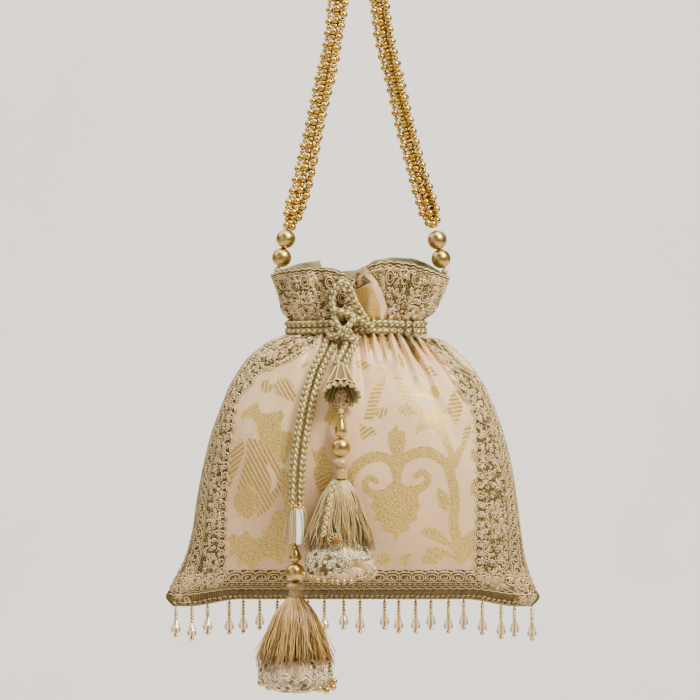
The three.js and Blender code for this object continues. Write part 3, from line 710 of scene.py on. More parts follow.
# outlines woven in gold, in mm from the middle of the front; bars gives the direction of a barred one in
# degrees
motifs = [
    ("flame", None, [(21, 37.7), (23.2, 43.8), (29.5, 44.4), (28.1, 48.8), (33.6, 51), (32.5, 55.4),
     (35.6, 58.7), (33.4, 63.1), (35, 67), (29.5, 67.5), (26.5, 71.4), (21.5, 74.7), (17.1, 71.4),
     (13.3, 67.5), (7.4, 67), (8.8, 63.1), (6.1, 58.7), (9.6, 55.4), (8.3, 51), (13.3, 49.3), (12.5, 44.4),
     (18.8, 43.8)]),
    ("tulip", None, [(20.7, 106.9), (23.2, 101.7), (26.2, 102.8), (26.5, 95.6), (25.4, 90.1), (21.7, 83.3),
     (18.2, 89), (16.2, 95.6), (16.9, 102.8), (18.8, 101.7)]),
    ("leftArm", 4, [(14.9, 134.7), (11.6, 130.9), (7.2, 124.3), (4.4, 116.6), (2.3, 107.9), (7.6, 107.4),
     (11, 117.7), (13.6, 125.4), (16, 131.4)]),
    ("rightArm", -10, [(19.3, 133.1), (21.5, 126.5), (25, 118.8), (30.9, 112.1), (37, 107.7),
     (38.1, 112.7), (32, 118.8), (27, 126.5), (23.2, 132.5)]),
    ("armLeaf", None, [(32, 100), (32.5, 104.4), (35.9, 109.9), (40.3, 113.3), (45.2, 115.5),
     (49.1, 113.3), (50.2, 107.7), (44.7, 104.4), (38.6, 103.3)]),
    ("leftBud", 75, [(8.8, 111), (11, 114.9), (14.9, 116), (17.3, 113.8), (14.9, 110.5), (12.2, 108.3)]),
    ("rightBud", 60, [(21.5, 114.9), (24.3, 116.8), (28.1, 116), (30.9, 112.1), (29.2, 110.2), (25, 111)]),
    ("barredFan", 8, [(54.6, 126.5), (58.8, 122.1), (59.6, 115.5), (57.3, 108.8), (55.7, 104.4),
     (52.4, 108.8), (50.2, 114.4), (51.8, 121)]),
    ("stemLeaf", 12, [(63.6, 106.4), (64.3, 102.2), (62.3, 96.7), (59, 92.9), (58.5, 97.8), (60.1, 103.3)]),
    ("sideLeaf", None, [(43.8, 71.6), (46.9, 68.1), (50.7, 65.8), (51.5, 60.3), (50.2, 53.7), (48, 57),
     (44.7, 58.7), (45.8, 61.4), (43.6, 64.7), (44.7, 67.5)]),
    ("lowFan", None, [(57.9, 27.8), (49.1, 29.5), (44.7, 25.6), (37, 24.8), (35, 29.5), (39.2, 30.6),
     (37, 33.9), (43.6, 36.1), (50.2, 33.3)]),
    ("upperFan", None, [(57.3, 28.4), (52.4, 35), (46.9, 37.2), (41.4, 39.4), (35, 42.7), (37, 47.1),
     (43, 46.6), (48, 42.7), (52.4, 37.2)]),
    ("rightFan", None, [(58.5, 27.8), (59, 35), (60.1, 41.6), (65.1, 46), (67.3, 40.5), (66.2, 33.9),
     (63.4, 27.8)]),
    ("blossom", None, [(14.4, 23.4), (9.9, 26.2), (10.5, 31.1), (14.4, 32.8), (18.8, 30), (18.2, 25.6)]),
    ("sprig", None, [(25.4, 22.9), (22.6, 28.4), (25.9, 31.7), (30.9, 31.7), (28.1, 28.9), (29.5, 26.2)]),
    ("upperPetal", None, [(69, 94), (63.4, 90.7), (63.6, 85.7), (69, 82)]),
    ("lowerPetal", None, [(69, 76), (64, 72.5), (63.4, 65.8), (69, 62)]),
    ("tendril", None, [(29.8, 133.6), (33.6, 132.5), (34.2, 129.2), (30.9, 127.6), (30.1, 123.2),
     (34.8, 121), (41.4, 118.8), (48, 123.2), (45.8, 127.6), (39.2, 127.6), (35.9, 124.3), (32.5, 126.5)]),
    ("bract", 35, [(0.6, 106.6), (3.9, 104.4), (8.8, 104.4), (10.5, 98.9), (6.1, 99.5), (2.8, 96.7),
     (0.6, 97.8)]),
    ("gathered1", 30, [(-1.6, 143), (5, 140.8), (8.3, 137.5), (2.8, 135.9), (-1.6, 138.6)]),
    ("gathered2", None, [(10.5, 139.7), (16, 137.5), (18.2, 134.2), (13.8, 133.1), (10.5, 135.9)]),
    ("gathered3", None, [(20.4, 147.4), (25.9, 143), (28.7, 137.5), (24.3, 137.5), (21, 141.9)]),
    ("gathered4", 20, [(37, 139.7), (42.5, 138.6), (45.8, 133.1), (41.4, 133.1), (38.1, 135.9)]),
    ("gathered5", None, [(2, 157), (3.4, 146), (7, 144), (8.4, 157)]),
    ("gathered6", None, [(13, 157), (13.6, 143), (16.4, 141), (17, 157)]),
    ("gathered7", None, [(27, 157), (30, 145), (34, 140), (35.5, 144), (31, 157)]),
    ("crown", None, [(-67.8, 112.7), (-62.8, 115.5), (-57.3, 119), (-56.4, 112.7), (-52.9, 111.6),
     (-44.1, 113.8), (-42.4, 111), (-45, 104.4), (-42.4, 101.1), (-38.6, 101.7), (-36.8, 93.4),
     (-39.7, 89), (-43, 82.4), (-48.5, 89), (-57.3, 97.8), (-59, 106.6), (-62.8, 111), (-67.2, 107.7)]),
    ("paisley", 118, [(-64.5, 98.4), (-57.3, 96.7), (-50.7, 92.3), (-45.7, 84.6), (-43.9, 75.8),
     (-44.6, 68.1), (-48.5, 60.3), (-52.9, 55.4), (-59, 52.1), (-56.2, 60.3), (-56.7, 65.8), (-62.8, 71.4),
     (-66.1, 68.1), (-70.5, 68.1), (-67.2, 78), (-64.5, 89)]),
    ("barredLeaf", 38, [(-66.1, 97.8), (-73.3, 91.2), (-75.5, 82.4), (-75.8, 73.6), (-74.4, 64.7),
     (-71.6, 72.5), (-67.4, 82.4), (-64.8, 90.1)]),
    ("bud", None, [(-64.5, 71.9), (-61.7, 68.6), (-57.3, 65.8), (-56.2, 59.2), (-59, 54.8), (-64.1, 50.6),
     (-69.4, 54.8), (-72.5, 59.2), (-71.4, 65.3), (-67.2, 68.6)]),
    ("field", None, [(-76.6, 39.9), (-73.8, 37.2), (-74.4, 29.5), (-70.5, 30.6), (-69.4, 22.3),
     (-66.1, 26.2), (-61.7, 21.2), (-59, 24.5), (-53.4, 28.9), (-49.6, 28.4), (-44.1, 24.5), (-41.6, 32.8),
     (-40.9, 44.9), (-41.4, 56.5), (-48.5, 55.9), (-51.2, 48.2), (-55.1, 41), (-60.6, 39.4), (-64.5, 44.9),
     (-68.3, 40.5), (-72.2, 42.7)]),
    ("rightField", None, [(-44.2, 82), (-40.4, 78), (-37.6, 66), (-36.8, 52), (-37.6, 38), (-40.6, 29),
     (-41.2, 44.9), (-42.2, 56.5), (-44.4, 68.1)]),
    ("topLeaf", 120, [(-48.5, 128.7), (-44.1, 133.1), (-38.6, 130.3), (-35.3, 123.2), (-37.5, 117.7),
     (-43, 121), (-47.9, 122.6)]),
    ("darkLeaf", 80, [(-56.7, 130.3), (-52.9, 131.4), (-47.9, 126.5), (-51.2, 123.7), (-55.6, 123.7)]),
    ("smallLeaf", 30, [(-35.3, 136.4), (-32.5, 141.4), (-27.5, 143), (-29.7, 138.1)]),
    ("middleLeaf", 30, [(-19, 62), (-25, 71), (-25.4, 80), (-19.6, 78), (-15, 70)]),
    ("middleSerrated", None, [(-27.8, 92), (-24.4, 83), (-27, 76), (-20.4, 78), (-16, 72), (-14.8, 84),
     (-19, 88), (-20, 94), (-24, 90)]),
    ("middleUpper", None, [(-16, 118), (-8, 112), (-6.6, 104), (-13, 102), (-20.4, 108)]),
    ("middleLower", None, [(-30, 46), (-24, 54), (-16, 50), (-14, 40), (-22, 34), (-29, 37)])]
# thick scrolls, as centre line and half width along it
scrolls = [([(22.4, 74.7), (23.2, 82.4), (28.7, 87.9), (39.2, 89.9), (49.1, 83.5), (53.3, 72.5), (54.8, 60.3),
             (54, 48.2), (56.8, 37.2), (58.1, 27.8)], [1.8, 2.6, 3.2, 3.3, 3, 2.9, 2.9, 2.9, 3.4, 3]),
           ([(21, 74.7), (19.3, 82.4), (16, 86.2), (9.4, 87.3), (2.8, 85.1), (-2.7, 80.2), (-6, 71.4),
             (-5, 60),
             (-2, 48), (-1, 36)], [1.8, 2.6, 3, 3.2, 3.2, 3, 2.9, 2.6, 2.2, 1.6]),
           ([(26.5, 68.1), (32.5, 68.6), (38.1, 71.4), (39.2, 75.8), (35.6, 78.2), (32, 76)],
            [2.4, 2.6, 2.2, 1.9, 1.9, 1.6]),
           ([(15.5, 66.4), (9.4, 65.8), (4.4, 68.6), (3.3, 73), (6.6, 75.2), (9.9, 73)],
            [2.4, 2.6, 2.2, 1.9, 1.9, 1.6]),
           ([(54.6, 83.5), (50.7, 93.4), (46.9, 101.1), (44.1, 106.6)], [2.3, 2.2, 2.6, 3.2]),
           ([(54.6, 82.4), (57.3, 90.1), (59.6, 93.4)], [2.2, 2, 1.4])]
# satin lines left between the gold: petals' outlines are gold on satin instead
veins = [([(-64.8, 90), (-68.5, 81), (-72.4, 72), (-74.4, 62)], [0.5, 0.4]),
         ([(-53.4, 83.5), (-49.6, 78), (-48.6, 71.4), (-51, 65.8)], [0.2, 1.5, 1.6, 0.2]),
         ([(-68.4, 112), (-66.4, 105), (-61.4, 100)], [0.4, 0.4])]
petals = [[(-72.2, 42.7), (-76, 48.2), (-71.1, 53.2), (-66.1, 50.4), (-64.8, 46), (-68.3, 41), (-72.2, 42.7)],
          [(-64.5, 45.5), (-66.1, 49.3), (-62.8, 50.4), (-57.3, 44.9), (-55.1, 41.6), (-60.6, 39.9),
           (-64.5, 45.5)],
          [(-62.3, 50.4), (-57.3, 53.2), (-49.6, 52.1), (-51.2, 48.2), (-54.5, 43.8), (-62.3, 50.4)],
          [(-66.1, 107.7), (-62.8, 109.4), (-59.5, 104.4), (-61.7, 99.5), (-65.6, 101.1), (-66.1, 107.7)],
          [(-72.2, 102.2), (-69.4, 103.9), (-67.2, 100), (-70, 95.6), (-72.2, 97.8), (-72.2, 102.2)]]


def serrated(shape, tooth=1.5, deep=0.45):
    # fine steps along an outline, as a loom draws a slanting edge
    line = evenly(np.array(shape + shape[:1], float), tooth)[:-1]
    way = unit(np.roll(line, -1, axis=0) - np.roll(line, 1, axis=0))
    side = np.stack([way[:, 1], -way[:, 0]], axis=1)
    return line + side * (deep * np.where(np.arange(len(line)) % 2, 1, -1))[:, None]


def weaveMotifs(w):
    for line, halves in scrolls:
        w.line(line, halves)
    for name, bars, shape in motifs:
        w.fill(serrated(shape), bars)
    for line, halves in veins:
        w.line(line, halves, cut=True)
    for shape in petals:
        w.line(shape, [0.28, 0.28])


# the inner edge of the embroidery up each side of the front and, at the right shoulder, its outer one:
# (height, x)
embroideryEdge = {-1: [(0, -78), (60, -76), (85, -74.5), (102, -72.6), (118.8, -70.5), (127.6, -61.7),
                       (135.4, -57.3),
                       (138.6, -46.3), (141.9, -38.6), (149.8, -26.5), (158, -24)],
                  1: [(0, 67), (28, 66.7), (60, 67.3), (89, 67.3), (104.4, 66.7), (115, 65), (121, 59),
                      (132, 55.7),
                      (142, 49), (149.6, 39), (158, 35)]}
shoulderEdge = [(0, 120), (128, 80), (134.2, 66.7), (138.6, 60.7), (147.4, 52.4), (158, 43.5)]
bottomBand = 19.6
scallop = 7.7  # mm from one scallop to the next


def inwardAt(x, h):
    # how far a place on the skin is from the nearer side seam, along the cloth
    halfWidth, centre = profileAt(h)[:2]
    share = np.clip((x - centre) / halfWidth, -1, 1)
    u = -abs(math.asin(share)) / (math.pi / 2)
    return float(np.interp(u, tableU[int(round(min(h, 190) / 2))], tableDistances))


def bandTable(side, edge):
    heights = np.arange(0, 161, 2.0)
    way = edge if side < 0 else -1
    inner = np.interp(heights, *np.transpose(embroideryEdge[way]))
    high = [inwardAt(x, h) for x, h in zip(inner, heights)]
    low = np.zeros(len(heights))
    if way > 0:
        outer = np.interp(heights, *np.transpose(shoulderEdge))
        low = np.array([inwardAt(x, h) for x, h in zip(outer, heights)])
    return heights, low, np.array(high)


bands = {(side, edge): bandTable(side, edge) for side in (-1, 1) for edge in (-1, 1)}


def bandAt(side, edge, h):
    heights, low, high = bands[side, edge]
    return np.interp(h, heights, low), np.interp(h, heights, high)


# at the collar's middle a fold of brocade stands out, with a strip of bare satin along its right
foldPatch = np.array([(6.7, 186.4), (-2.6, 182.4), (-3.8, 173.4), (3.4, 163), (12.8, 163), (13.4, 171),
                      (9.2, 182.6)])
satinStrip = np.array([(-1.5, 193), (3, 190.4), (7.4, 187), (9.6, 182.6), (13.6, 171), (13.0, 162),
                       (15.6, 162),
                       (16.2, 172), (12.8, 183), (8.6, 189.4), (4, 195.5)])


panelSize = {"columns": 212, "rows": 214, "turnedIn": 2.4}


def evenU(side, h, count):
    # u values spaced evenly along the cloth's width at a height
    us = np.linspace(-1, 1, 721)
    p = skin(side, us, np.full_like(us, h))
    run = runAlong(p)
    return np.interp(np.linspace(0, run[-1], count), run, us), run[-1]


def makePanel(side, name, node):
    columns, rows = panelSize["columns"], panelSize["rows"]
    u, width = evenU(side, 80, columns)
    h = np.linspace(0, 191, rows)
    gridU, gridH = np.meshgrid(u, h)
    points, normals = cloth(side, gridU, gridH)
    x, z = points[..., 0], points[..., 2] - seamZ
    w = Weaving(x if side < 0 else -x, z)
    weaveMotifs(w)
    # the embroidered ground
    border = np.full(x.shape, -9.0)
    for edge in (-1, 1):
        inward = np.empty_like(x)
        for k, height in enumerate(h):
            row = int(round(min(height, 190) / 2))
            inward[k] = np.interp(-1 + (1 + gridU[k] if edge < 0 else 1 - gridU[k]), tableU[row],
                                  tableDistances,
                                  right=99)
        low, high = bandAt(side, edge, gridH)
        wave = 1.4 * np.abs(np.sin(math.pi * gridH / scallop))
        border = np.maximum(border, np.minimum(inward - low + 0.5 * (low < 0.1), high - 0.6 + wave - inward))
    border = np.where(gridH > 158, -9, border)
    foot = bottomBand - 0.6 + 0.9 * np.abs(np.sin(math.pi * x / scallop)) - gridH
    border = np.maximum(border, foot)
    overNeck = gridH - 157.5
    if side < 0:
        patch, strip = polygonDistance(x, z, foldPatch), polygonDistance(x, z, satinStrip)
        overNeck = np.minimum(np.minimum(overNeck, -patch), -strip)
        w.motif = np.where(patch > -0.4, patch - 0.7, w.motif)
        w.striped = np.where(patch > 0, 0, w.striped)
    border = np.maximum(border, overNeck)
    verts = points.reshape(-1, 3)
    # the edges turn in behind the cloth, so that none shows raw
    rim = np.concatenate([np.arange(columns), columns * np.arange(1, rows) + columns - 1,
                          columns * (rows - 1) + np.arange(columns - 2, -1, -1),
                          columns * np.arange(rows - 2, 0, -1)])
    inwardWay = unit(np.array([[0, 0, seamZ + 90]]) - verts[rim]) * [1, 0, 1]
    turned = verts[rim] + unit(inwardWay) * panelSize["turnedIn"] - normals.reshape(-1, 3)[rim] * 0.9
    turned[:, 1] = side * np.maximum(side * (turned[:, 1] - leanAt(turned[:, 2] - seamZ)), 0.12) \
        + leanAt(turned[:, 2] - seamZ)
    count = len(verts)
    k = np.arange(len(rim))
    lip = np.stack([rim[(k + 1) % len(rim)], rim, count + k, count + (k + 1) % len(rim)], axis=-1)
    faces = np.concatenate([quadGrid(rows, columns, closed=False), lip])
    if side > 0:
        faces = faces[:, ::-1]
    fields = {"motif": w.motif, "stripe": w.stripe, "striped": w.striped, "border": border}
    attributes = {key: np.concatenate([value.ravel(), np.full(len(rim),
                                                              value[0, 0] if key == "border" else 0)])
                  for key, value in fields.items()}
    uv = np.stack([gridU * width / 2, z], axis=-1).reshape(-1, 2)
    uv = np.concatenate([uv, uv[rim] + 0.7])
    return keep(name, np.concatenate([verts, turned]), faces, "pouch", [satinBrocade], [node],
                attributes, uv)


frontPanel = makePanel(-1, "frontPanel", "front_panel")
backPanel = makePanel(1, "backPanel", "back_panel")
print("panels woven")


# lining, one open bag inside the panels

def makeLining():
    columns, rows = 72, 70
    us = np.linspace(-1, 1, columns)
    hs = np.concatenate([np.linspace(6, 150, 34), np.linspace(152, 191, rows - 34)])
    loops = []
    for h in hs:
        # it is cut lower at the corners, clear of the handle's beads
        low = h - 3.0 * ease(0.84, 0.97, np.abs(us)) * float(ease(176, 191, h))
        front = cloth(-1, us, low, np.full_like(us, -1.5))[0]
        back = cloth(1, us, low, np.full_like(us, -1.5))[0]
        for p, side in ((front, -1), (back, 1)):
            p[:, 1] = np.where(side * (p[:, 1] - leanAt(h)) < 0.25, leanAt(h) + 0.25 * side, p[:, 1])
            p[:, 0] = np.clip(p[:, 0], front[0, 0] + 1.4 if side < 0 else back[0, 0] + 1.4, None)
        loops.append(np.concatenate([front, back[::-1]]))
    outer = np.array(loops)
    centre = outer.mean(axis=1, keepdims=True)
    inner = outer + unit((centre - outer) * [1, 1, 0]) * 0.7
    inner[0, :, 2] += 0.7
    n = 2 * columns
    verts = np.concatenate([outer.reshape(-1, 3), inner.reshape(-1, 3)])
    size = len(hs) * n
    k = np.arange(n)
    k2 = (k + 1) % n
    wall = quadGrid(len(hs), n)
    last = (len(hs) - 1) * n
    lip = np.stack([last + k, last + k2, size + last + k2, size + last + k], axis=-1)
    floor = []
    for a in range(columns - 1):
        quad = [a, a + 1, n - 2 - a, n - 1 - a]
        floor += [quad[::-1], [size + b for b in quad]]
    faces = wall.tolist() + (wall[:, ::-1] + size).tolist() + lip.tolist() + floor
    around = np.tile(np.arange(n) * 2.2, len(hs))
    uv = np.stack([around, outer[..., 2].ravel() - seamZ], axis=-1)
    return keep("liningBag", verts, faces, "pouch", [sageLining], ["lining"],
                uv=np.concatenate([uv, uv]))


lining = makeLining()
print("lining sewn")


# embroidery: zari threads laid and couched on the borders and the collar

thread = {"radius": 0.38, "lift": 0.22, "step": 1.0}


class Threads:
    # collects threads, each a path with its normals, its tone and its radius
    def __init__(self):
        self.paths, self.normals, self.tones, self.radii = [], [], [], []

    def put(self, laid, tone, radius):
        self.paths.append(laid[0])
        self.normals.append(laid[1])
        self.tones.append(tone)
        self.radii.append(radius)

    def work(self):
        return sweep(self.paths, self.radii, 4, self.normals, self.tones)


class Laid(Threads):
    # threads given in cloth coordinates, laid on one side of the pouch
    def __init__(self, side):
        super().__init__()
        self.side = side

    def add(self, u, h, radius=None, lift=None, tone=None):
        if np.max(np.abs(u)) > 0.9995:
            u = np.clip(u, -0.9995, 0.9995)
        laid = cloth(self.side, u, h, np.full(len(np.atleast_1d(u)),
                                              thread["lift"] if lift is None else lift))
        self.put(laid, dice.uniform(0.25, 1.0) if tone is None else tone, radius or thread["radius"])

    def onEdge(self, edge, along, inward, **how):
        along = np.asarray(along, float)
        self.add(sideU(edge, np.maximum(inward, 0.15), along), along, **how)

    def piece(self, name, nodes=()):
        return keepWork(name, self.work(), "pouch", silverZari, nodes)


def ringPoints(radiusA, radiusB):
    t = np.linspace(0, 2 * math.pi, max(7, int(2 * math.pi * max(radiusA, radiusB) / thread["step"])))
    return radiusA * np.cos(t), radiusB * np.sin(t)


def spiralPoints(radius, turns, start):
    count = max(8, int(3.6 * radius * turns))
    t = np.linspace(0, 1, count)
    a = start + 2 * math.pi * turns * t
    r = radius * (1 - 0.78 * t)
    return r * np.cos(a), r * np.sin(a)


def eyelet(put, across, along):
    # olive satin stitch in a silver outline, with a silver hook worked inside
    d, e = spiralPoints(1.0, 2.4, dice.uniform(0, 6.28))
    put(d * (across - 0.6), e * (along - 0.6), radius=0.55, lift=0.1, tone=dice.uniform(0, 0.12))
    t = np.linspace(0, 2 * math.pi, 15)
    square = np.maximum(np.abs(np.cos(t)), np.abs(np.sin(t))) ** -0.4
    put(across * square * np.cos(t), along * square * np.sin(t), radius=0.44, tone=dice.uniform(0.75, 1.0))
    start = dice.uniform(0, 6.28)
    t = start + np.linspace(0, 3.9, 7)
    put(0.42 * across * np.cos(t), 0.38 * along * np.sin(t), radius=0.36, lift=0.5, tone=0.95)


def sideBorder(laid, edge, top):
    side = laid.side
    low = lambda b: bandAt(side, edge, b)[0]
    high = lambda b: bandAt(side, edge, b)[1]
    start = 9.0
    b = np.arange(start, top, 1.0)
    # rolled edge, a couched line, slanting stitches and another line
    laid.onEdge(edge, b, low(b) + 0.7 + 0.35 * np.sin(b * 1.5), radius=0.45, tone=0.5)
    laid.onEdge(edge, b, low(b) + 1.9 + 0.3 * np.sin(b * 1.9 + 1), tone=0.9)
    for c in np.arange(start + 2, top - 2, 2.6):
        laid.onEdge(edge, c + np.array([-1.2, 0, 1.2]), low(c) + 3.7 + np.array([-1.1, 0.2, 1.0]),
                    tone=dice.uniform(0.2, 1.0))
    laid.onEdge(edge, b, low(b) + 5.3 + 0.25 * np.sin(b * 2.1), tone=0.95)
    # a column of eyelets between two lines
    for c in np.arange(start + 4, top - 3, 7.4):
        put = lambda across, along, **how: laid.onEdge(edge, c + along, low(c) + 8.7 + across, **how)
        eyelet(put, 2.1, 2.8)
        laid.onEdge(edge, c + 3.7 + np.array([-0.3, 0, 0.3]), low(c) + 8.7 + np.array([2.2, 0, -2.2]),
                    tone=0.85)
    for inward, tone in ((11.8, 0.9), (12.9, 0.55)):
        laid.onEdge(edge, b, low(b) + inward + 0.3 * np.sin(b * 1.3 + inward), tone=tone)
    # dense curls between there and the inner edge's loops
    c = start + 1.5
    while c < top - 1:
        room = high(c) - low(c) - 13.6 - 3.4
        count = max(1, int(room / 2.35) + 1) if room > -2 else 0
        for k in range(count):
            a = low(c) + 13.8 + (room * (k + 0.5) / count) + dice.uniform(-0.6, 0.6)
            da, db = spiralPoints(dice.uniform(1.1, 1.8), dice.uniform(0.7, 1.3), dice.uniform(0, 6.28))
            laid.onEdge(edge, c + dice.uniform(-0.6, 0.6) + db, a + da,
                        tone=dice.choice((0.1, 0.6, 0.8, 0.95, 1.0)),
                        radius=dice.uniform(0.32, 0.5))
        c += 2.2
    for c in np.arange(start + 6, top - 1, 5.6):
        a = high(c) - 2.2
        da, db = spiralPoints(dice.uniform(2.1, 2.6), 1.45, dice.uniform(2.4, 3.9) * edge)
        laid.onEdge(edge, c + db, a + da, radius=0.45, tone=dice.uniform(0.8, 1.0))
        da, db = ringPoints(0.9, 1.1)
        laid.onEdge(edge, c + 2.8 + db, high(c) + 0.4 + da, radius=0.38, tone=dice.uniform(0.5, 1.0))
    b = np.arange(start + 8, top, 0.8)
    laid.onEdge(edge, b, high(b) - 0.6 + 1.1 * np.abs(np.sin(math.pi * b / scallop)), radius=0.36, tone=0.85)


def bottomBorder(laid):
    def atX(x):
        # the angle parameter of a place along the seam, from its share of the half width
        return np.arcsin(np.clip(np.asarray(x, float) / 105.0, -0.998, 0.998)) / (math.pi / 2)

    xs = np.arange(-103.5, 103.6, 1.0)
    for height, wobble, radius, tone in ((0.8, 0.35, 0.45, 0.3), (7.1, 0.25, 0.4, 0.75),
                                         (8.5, 0.4, 0.36, 0.5),
                                         (11.3, 0.2, 0.36, 0.8)):
        laid.add(atX(xs), height + wobble * np.sin(xs * 1.4 + height), radius=radius, tone=tone)
    # the plain band is satin stitch laid side by side
    for x in np.arange(-102, 102.5, 1.3):
        laid.add(atX(x + np.array([-0.5, 0.5])), np.array([3.3, 6.5]), tone=dice.uniform(0, 0.16), radius=0.5,
                 lift=0.1)
    # dashes along the hem, under the plain band, and above it
    for x in np.arange(-102, 102.5, 2.9):
        laid.add(atX(x + np.array([-1.0, 0, 1.0])), 2.5 + dice.uniform(-0.2,
                                                                       0.2) + np.array([-0.2, 0.2, -0.1]),
                 tone=dice.uniform(0.6, 1.0), radius=0.42)
        laid.add(atX(x + np.array([-0.9, 0.5])), np.array([1.2, 1.9]), tone=dice.uniform(0.1, 0.7))
        laid.add(atX(x + 1.3 + np.array([-1.0, 0, 1.0])), 9.9 + np.array([-0.4, 0.3, -0.3]),
                 tone=dice.uniform(0.5, 1))
    for x in np.arange(-100.1, 100.5, scallop):
        eyelet(lambda across, along, **how: laid.add(atX(x + across), 14.6 + along, **how), 2.9, 2.2)
        laid.add(atX(x + scallop / 2 + np.array([0, 0.1, 0])), 14.6 + np.array([-2.2, 0, 2.2]), tone=0.8)
        t = np.linspace(0, math.pi, 9)
        laid.add(atX(x + 3.7 * np.cos(t)), 17.2 + 1.4 * np.sin(t), tone=0.95)
        for spoke in (-1.8, 1.8):
            laid.add(atX(x + spoke + np.array([0, 0.2])), 18.6 + np.array([0, 1.2]), tone=0.9)
    # the corners are filled with leafy loops
    for edge in (-1, 1):
        for n in range(30):
            x = edge * dice.uniform(92, 103)
            height = dice.uniform(2.5, 22)
            dx, dh = spiralPoints(dice.uniform(1.4, 2.2), 1.0, dice.uniform(0, 6.28))
            laid.add(atX(x + dx), np.maximum(height + dh, 0.3), tone=dice.uniform(0.2, 1.0))


def collarWork(laid):
    side = laid.side

    def clear(u, h):
        # whether a thread there keeps off the fold of brocade and its satin strip
        if side > 0:
            return True
        p = skin(side, u, h)
        place = (np.array([p[0]]), np.array([p[2] - seamZ]))
        return polygonDistance(*place, foldPatch)[0] < -1.2 and polygonDistance(*place, satinStrip)[0] < -0.6

    us = np.linspace(-0.985, 0.985, 256)
    plain = np.array([clear(u, 188.6) for u in us])
    runs = [us] if side > 0 else [us[plain & (us < 0.1)], us[plain & (us > 0.1)]]
    for height, tone in ((190.2, 0.9), (188.6, 0.6), (187.2, 0.9)):
        for run in runs:
            laid.add(run, height + 0.3 * np.sin(run * 95), tone=tone, radius=0.4)

    def at(u, h, du, dh, **how):
        half = profileAt(h)[0]
        laid.add(u + du / (half * math.pi / 2) / max(0.35, math.cos(u * math.pi / 2)),
                 np.clip(h + dh, 165, 190.6),
                 **how)

    rings = []
    for row, h in enumerate((184.0, 177.4, 170.8)):
        for u in evenU(side, h, 17)[0][1 + row % 2:-1:2]:
            if clear(u, h) and clear(u - 0.05, h) and clear(u + 0.05, h) and dice.random() < 0.75:
                rings.append((u, h))
                du, dh = ringPoints(2.5, 2.6)
                at(u, h, du, dh, radius=0.42, tone=dice.uniform(0.75, 1))
                du, dh = ringPoints(1.5, 1.5)
                at(u, h, du, dh, tone=0.6)
    # ladders of short rungs
    for u0 in (-0.62, -0.44, 0.5, 0.72):
        for h in np.arange(167.5, 187, 1.7):
            u = u0 + 0.02 * math.sin(h)
            if clear(u, h):
                at(u, h, np.array([-2.1, 0, 2.1]), np.array([0, 0.35, 0]), tone=0.9)
    for h in np.arange(165.6, 187.4, 1.55):
        run = evenU(side, h, 2)[1]
        for u in evenU(side, h, int(run / 2.35))[0][1:-1]:
            if not clear(u, h) or any(abs(u - a) * 58 < 2.6 and abs(h - b) < 3.0 for a, b in rings):
                continue
            du, dh = spiralPoints(dice.uniform(0.95, 1.45), dice.uniform(0.8, 1.4), dice.uniform(0, 6.28))
            at(u + dice.uniform(-0.008, 0.008), h + dice.uniform(-0.5, 0.5), du, dh,
               tone=dice.choice((0.1, 0.5, 0.75, 0.95, 1.0)), radius=dice.uniform(0.32, 0.5))


# the embroidered borders and the collar's work, front and back
for side, name, node in ((-1, "frontBorder", "front_border"), (1, "backBorder", "back_border")):
    laid = Laid(side)
    for edge in (-1, 1):
        sideBorder(laid, edge, 160)
    bottomBorder(laid)
    border = laid.piece(name, [node])
    laid = Laid(side)
    collarWork(laid)
    work = laid.piece("collarWorkFront" if side < 0 else "collarWorkBack")
print("borders embroidered")



# beads

def turned(profile, segments, place=(0, 0, 0)):
    # a form drawn up from a disc ring by ring, by (height, radius) in mm, closed at both ends
    bpy.ops.object.select_all(action="DESELECT")
    (h0, r0), x, y, z = profile[0], *[v * mm for v in place]
    bpy.ops.mesh.primitive_circle_add(vertices=segments, radius=r0 * mm, fill_type="NGON",
                                      location=(x, y, z + h0 * mm))
    piece = bpy.context.object
    bpy.ops.object.mode_set(mode="EDIT")
    bpy.ops.mesh.select_all(action="SELECT")
    for (h, r), (nextH, nextR) in zip(profile, profile[1:]):
        bpy.ops.mesh.extrude_region_move(TRANSFORM_OT_translate={"value": (0, 0, (nextH - h) * mm)})
        bpy.ops.transform.resize(value=(nextR / r, nextR / r, 1), center_override=(x, y, z + nextH * mm))
    bpy.ops.mesh.select_all(action="SELECT")
    bpy.ops.mesh.normals_make_consistent(inside=False)
    bpy.ops.object.mode_set(mode="OBJECT")
    bpy.ops.object.transform_apply(location=True, rotation=True, scale=True)
    return piece


def shapeOf(piece):
    # the arrays of a finished bead in mm, to be copied; the model itself goes
    verts = np.array([v.co[:] for v in piece.data.vertices]) / mm
    faces = [list(f.vertices) for f in piece.data.polygons]
    bpy.data.objects.remove(piece)
    return verts, faces


def ballProfile(radius, rings, bore, squat=1.0):
    # a drilled bead from pole to pole, its hole's rim rolled in
    t = np.linspace(math.asin(min(0.9, bore / radius)), math.pi - math.asin(min(0.9, bore / radius)), rings)
    ring = [(-radius * squat * math.cos(a), radius * math.sin(a)) for a in t]
    return [(ring[0][0] + 0.12 * radius, bore * 0.6)] + ring + [(ring[-1][0] - 0.12 * radius, bore * 0.6)]


beads = {"strand": 2.3, "seed": 1.45, "filler": 1.3, "pitch": 6.55, "big": 5.6, "pearl": 2.1}
smallBead = shapeOf(turned(ballProfile(1.0, 6, 0.3, 0.96), 8))
seedBead = shapeOf(turned(ballProfile(1.0, 4, 0.45, 0.86), 7))

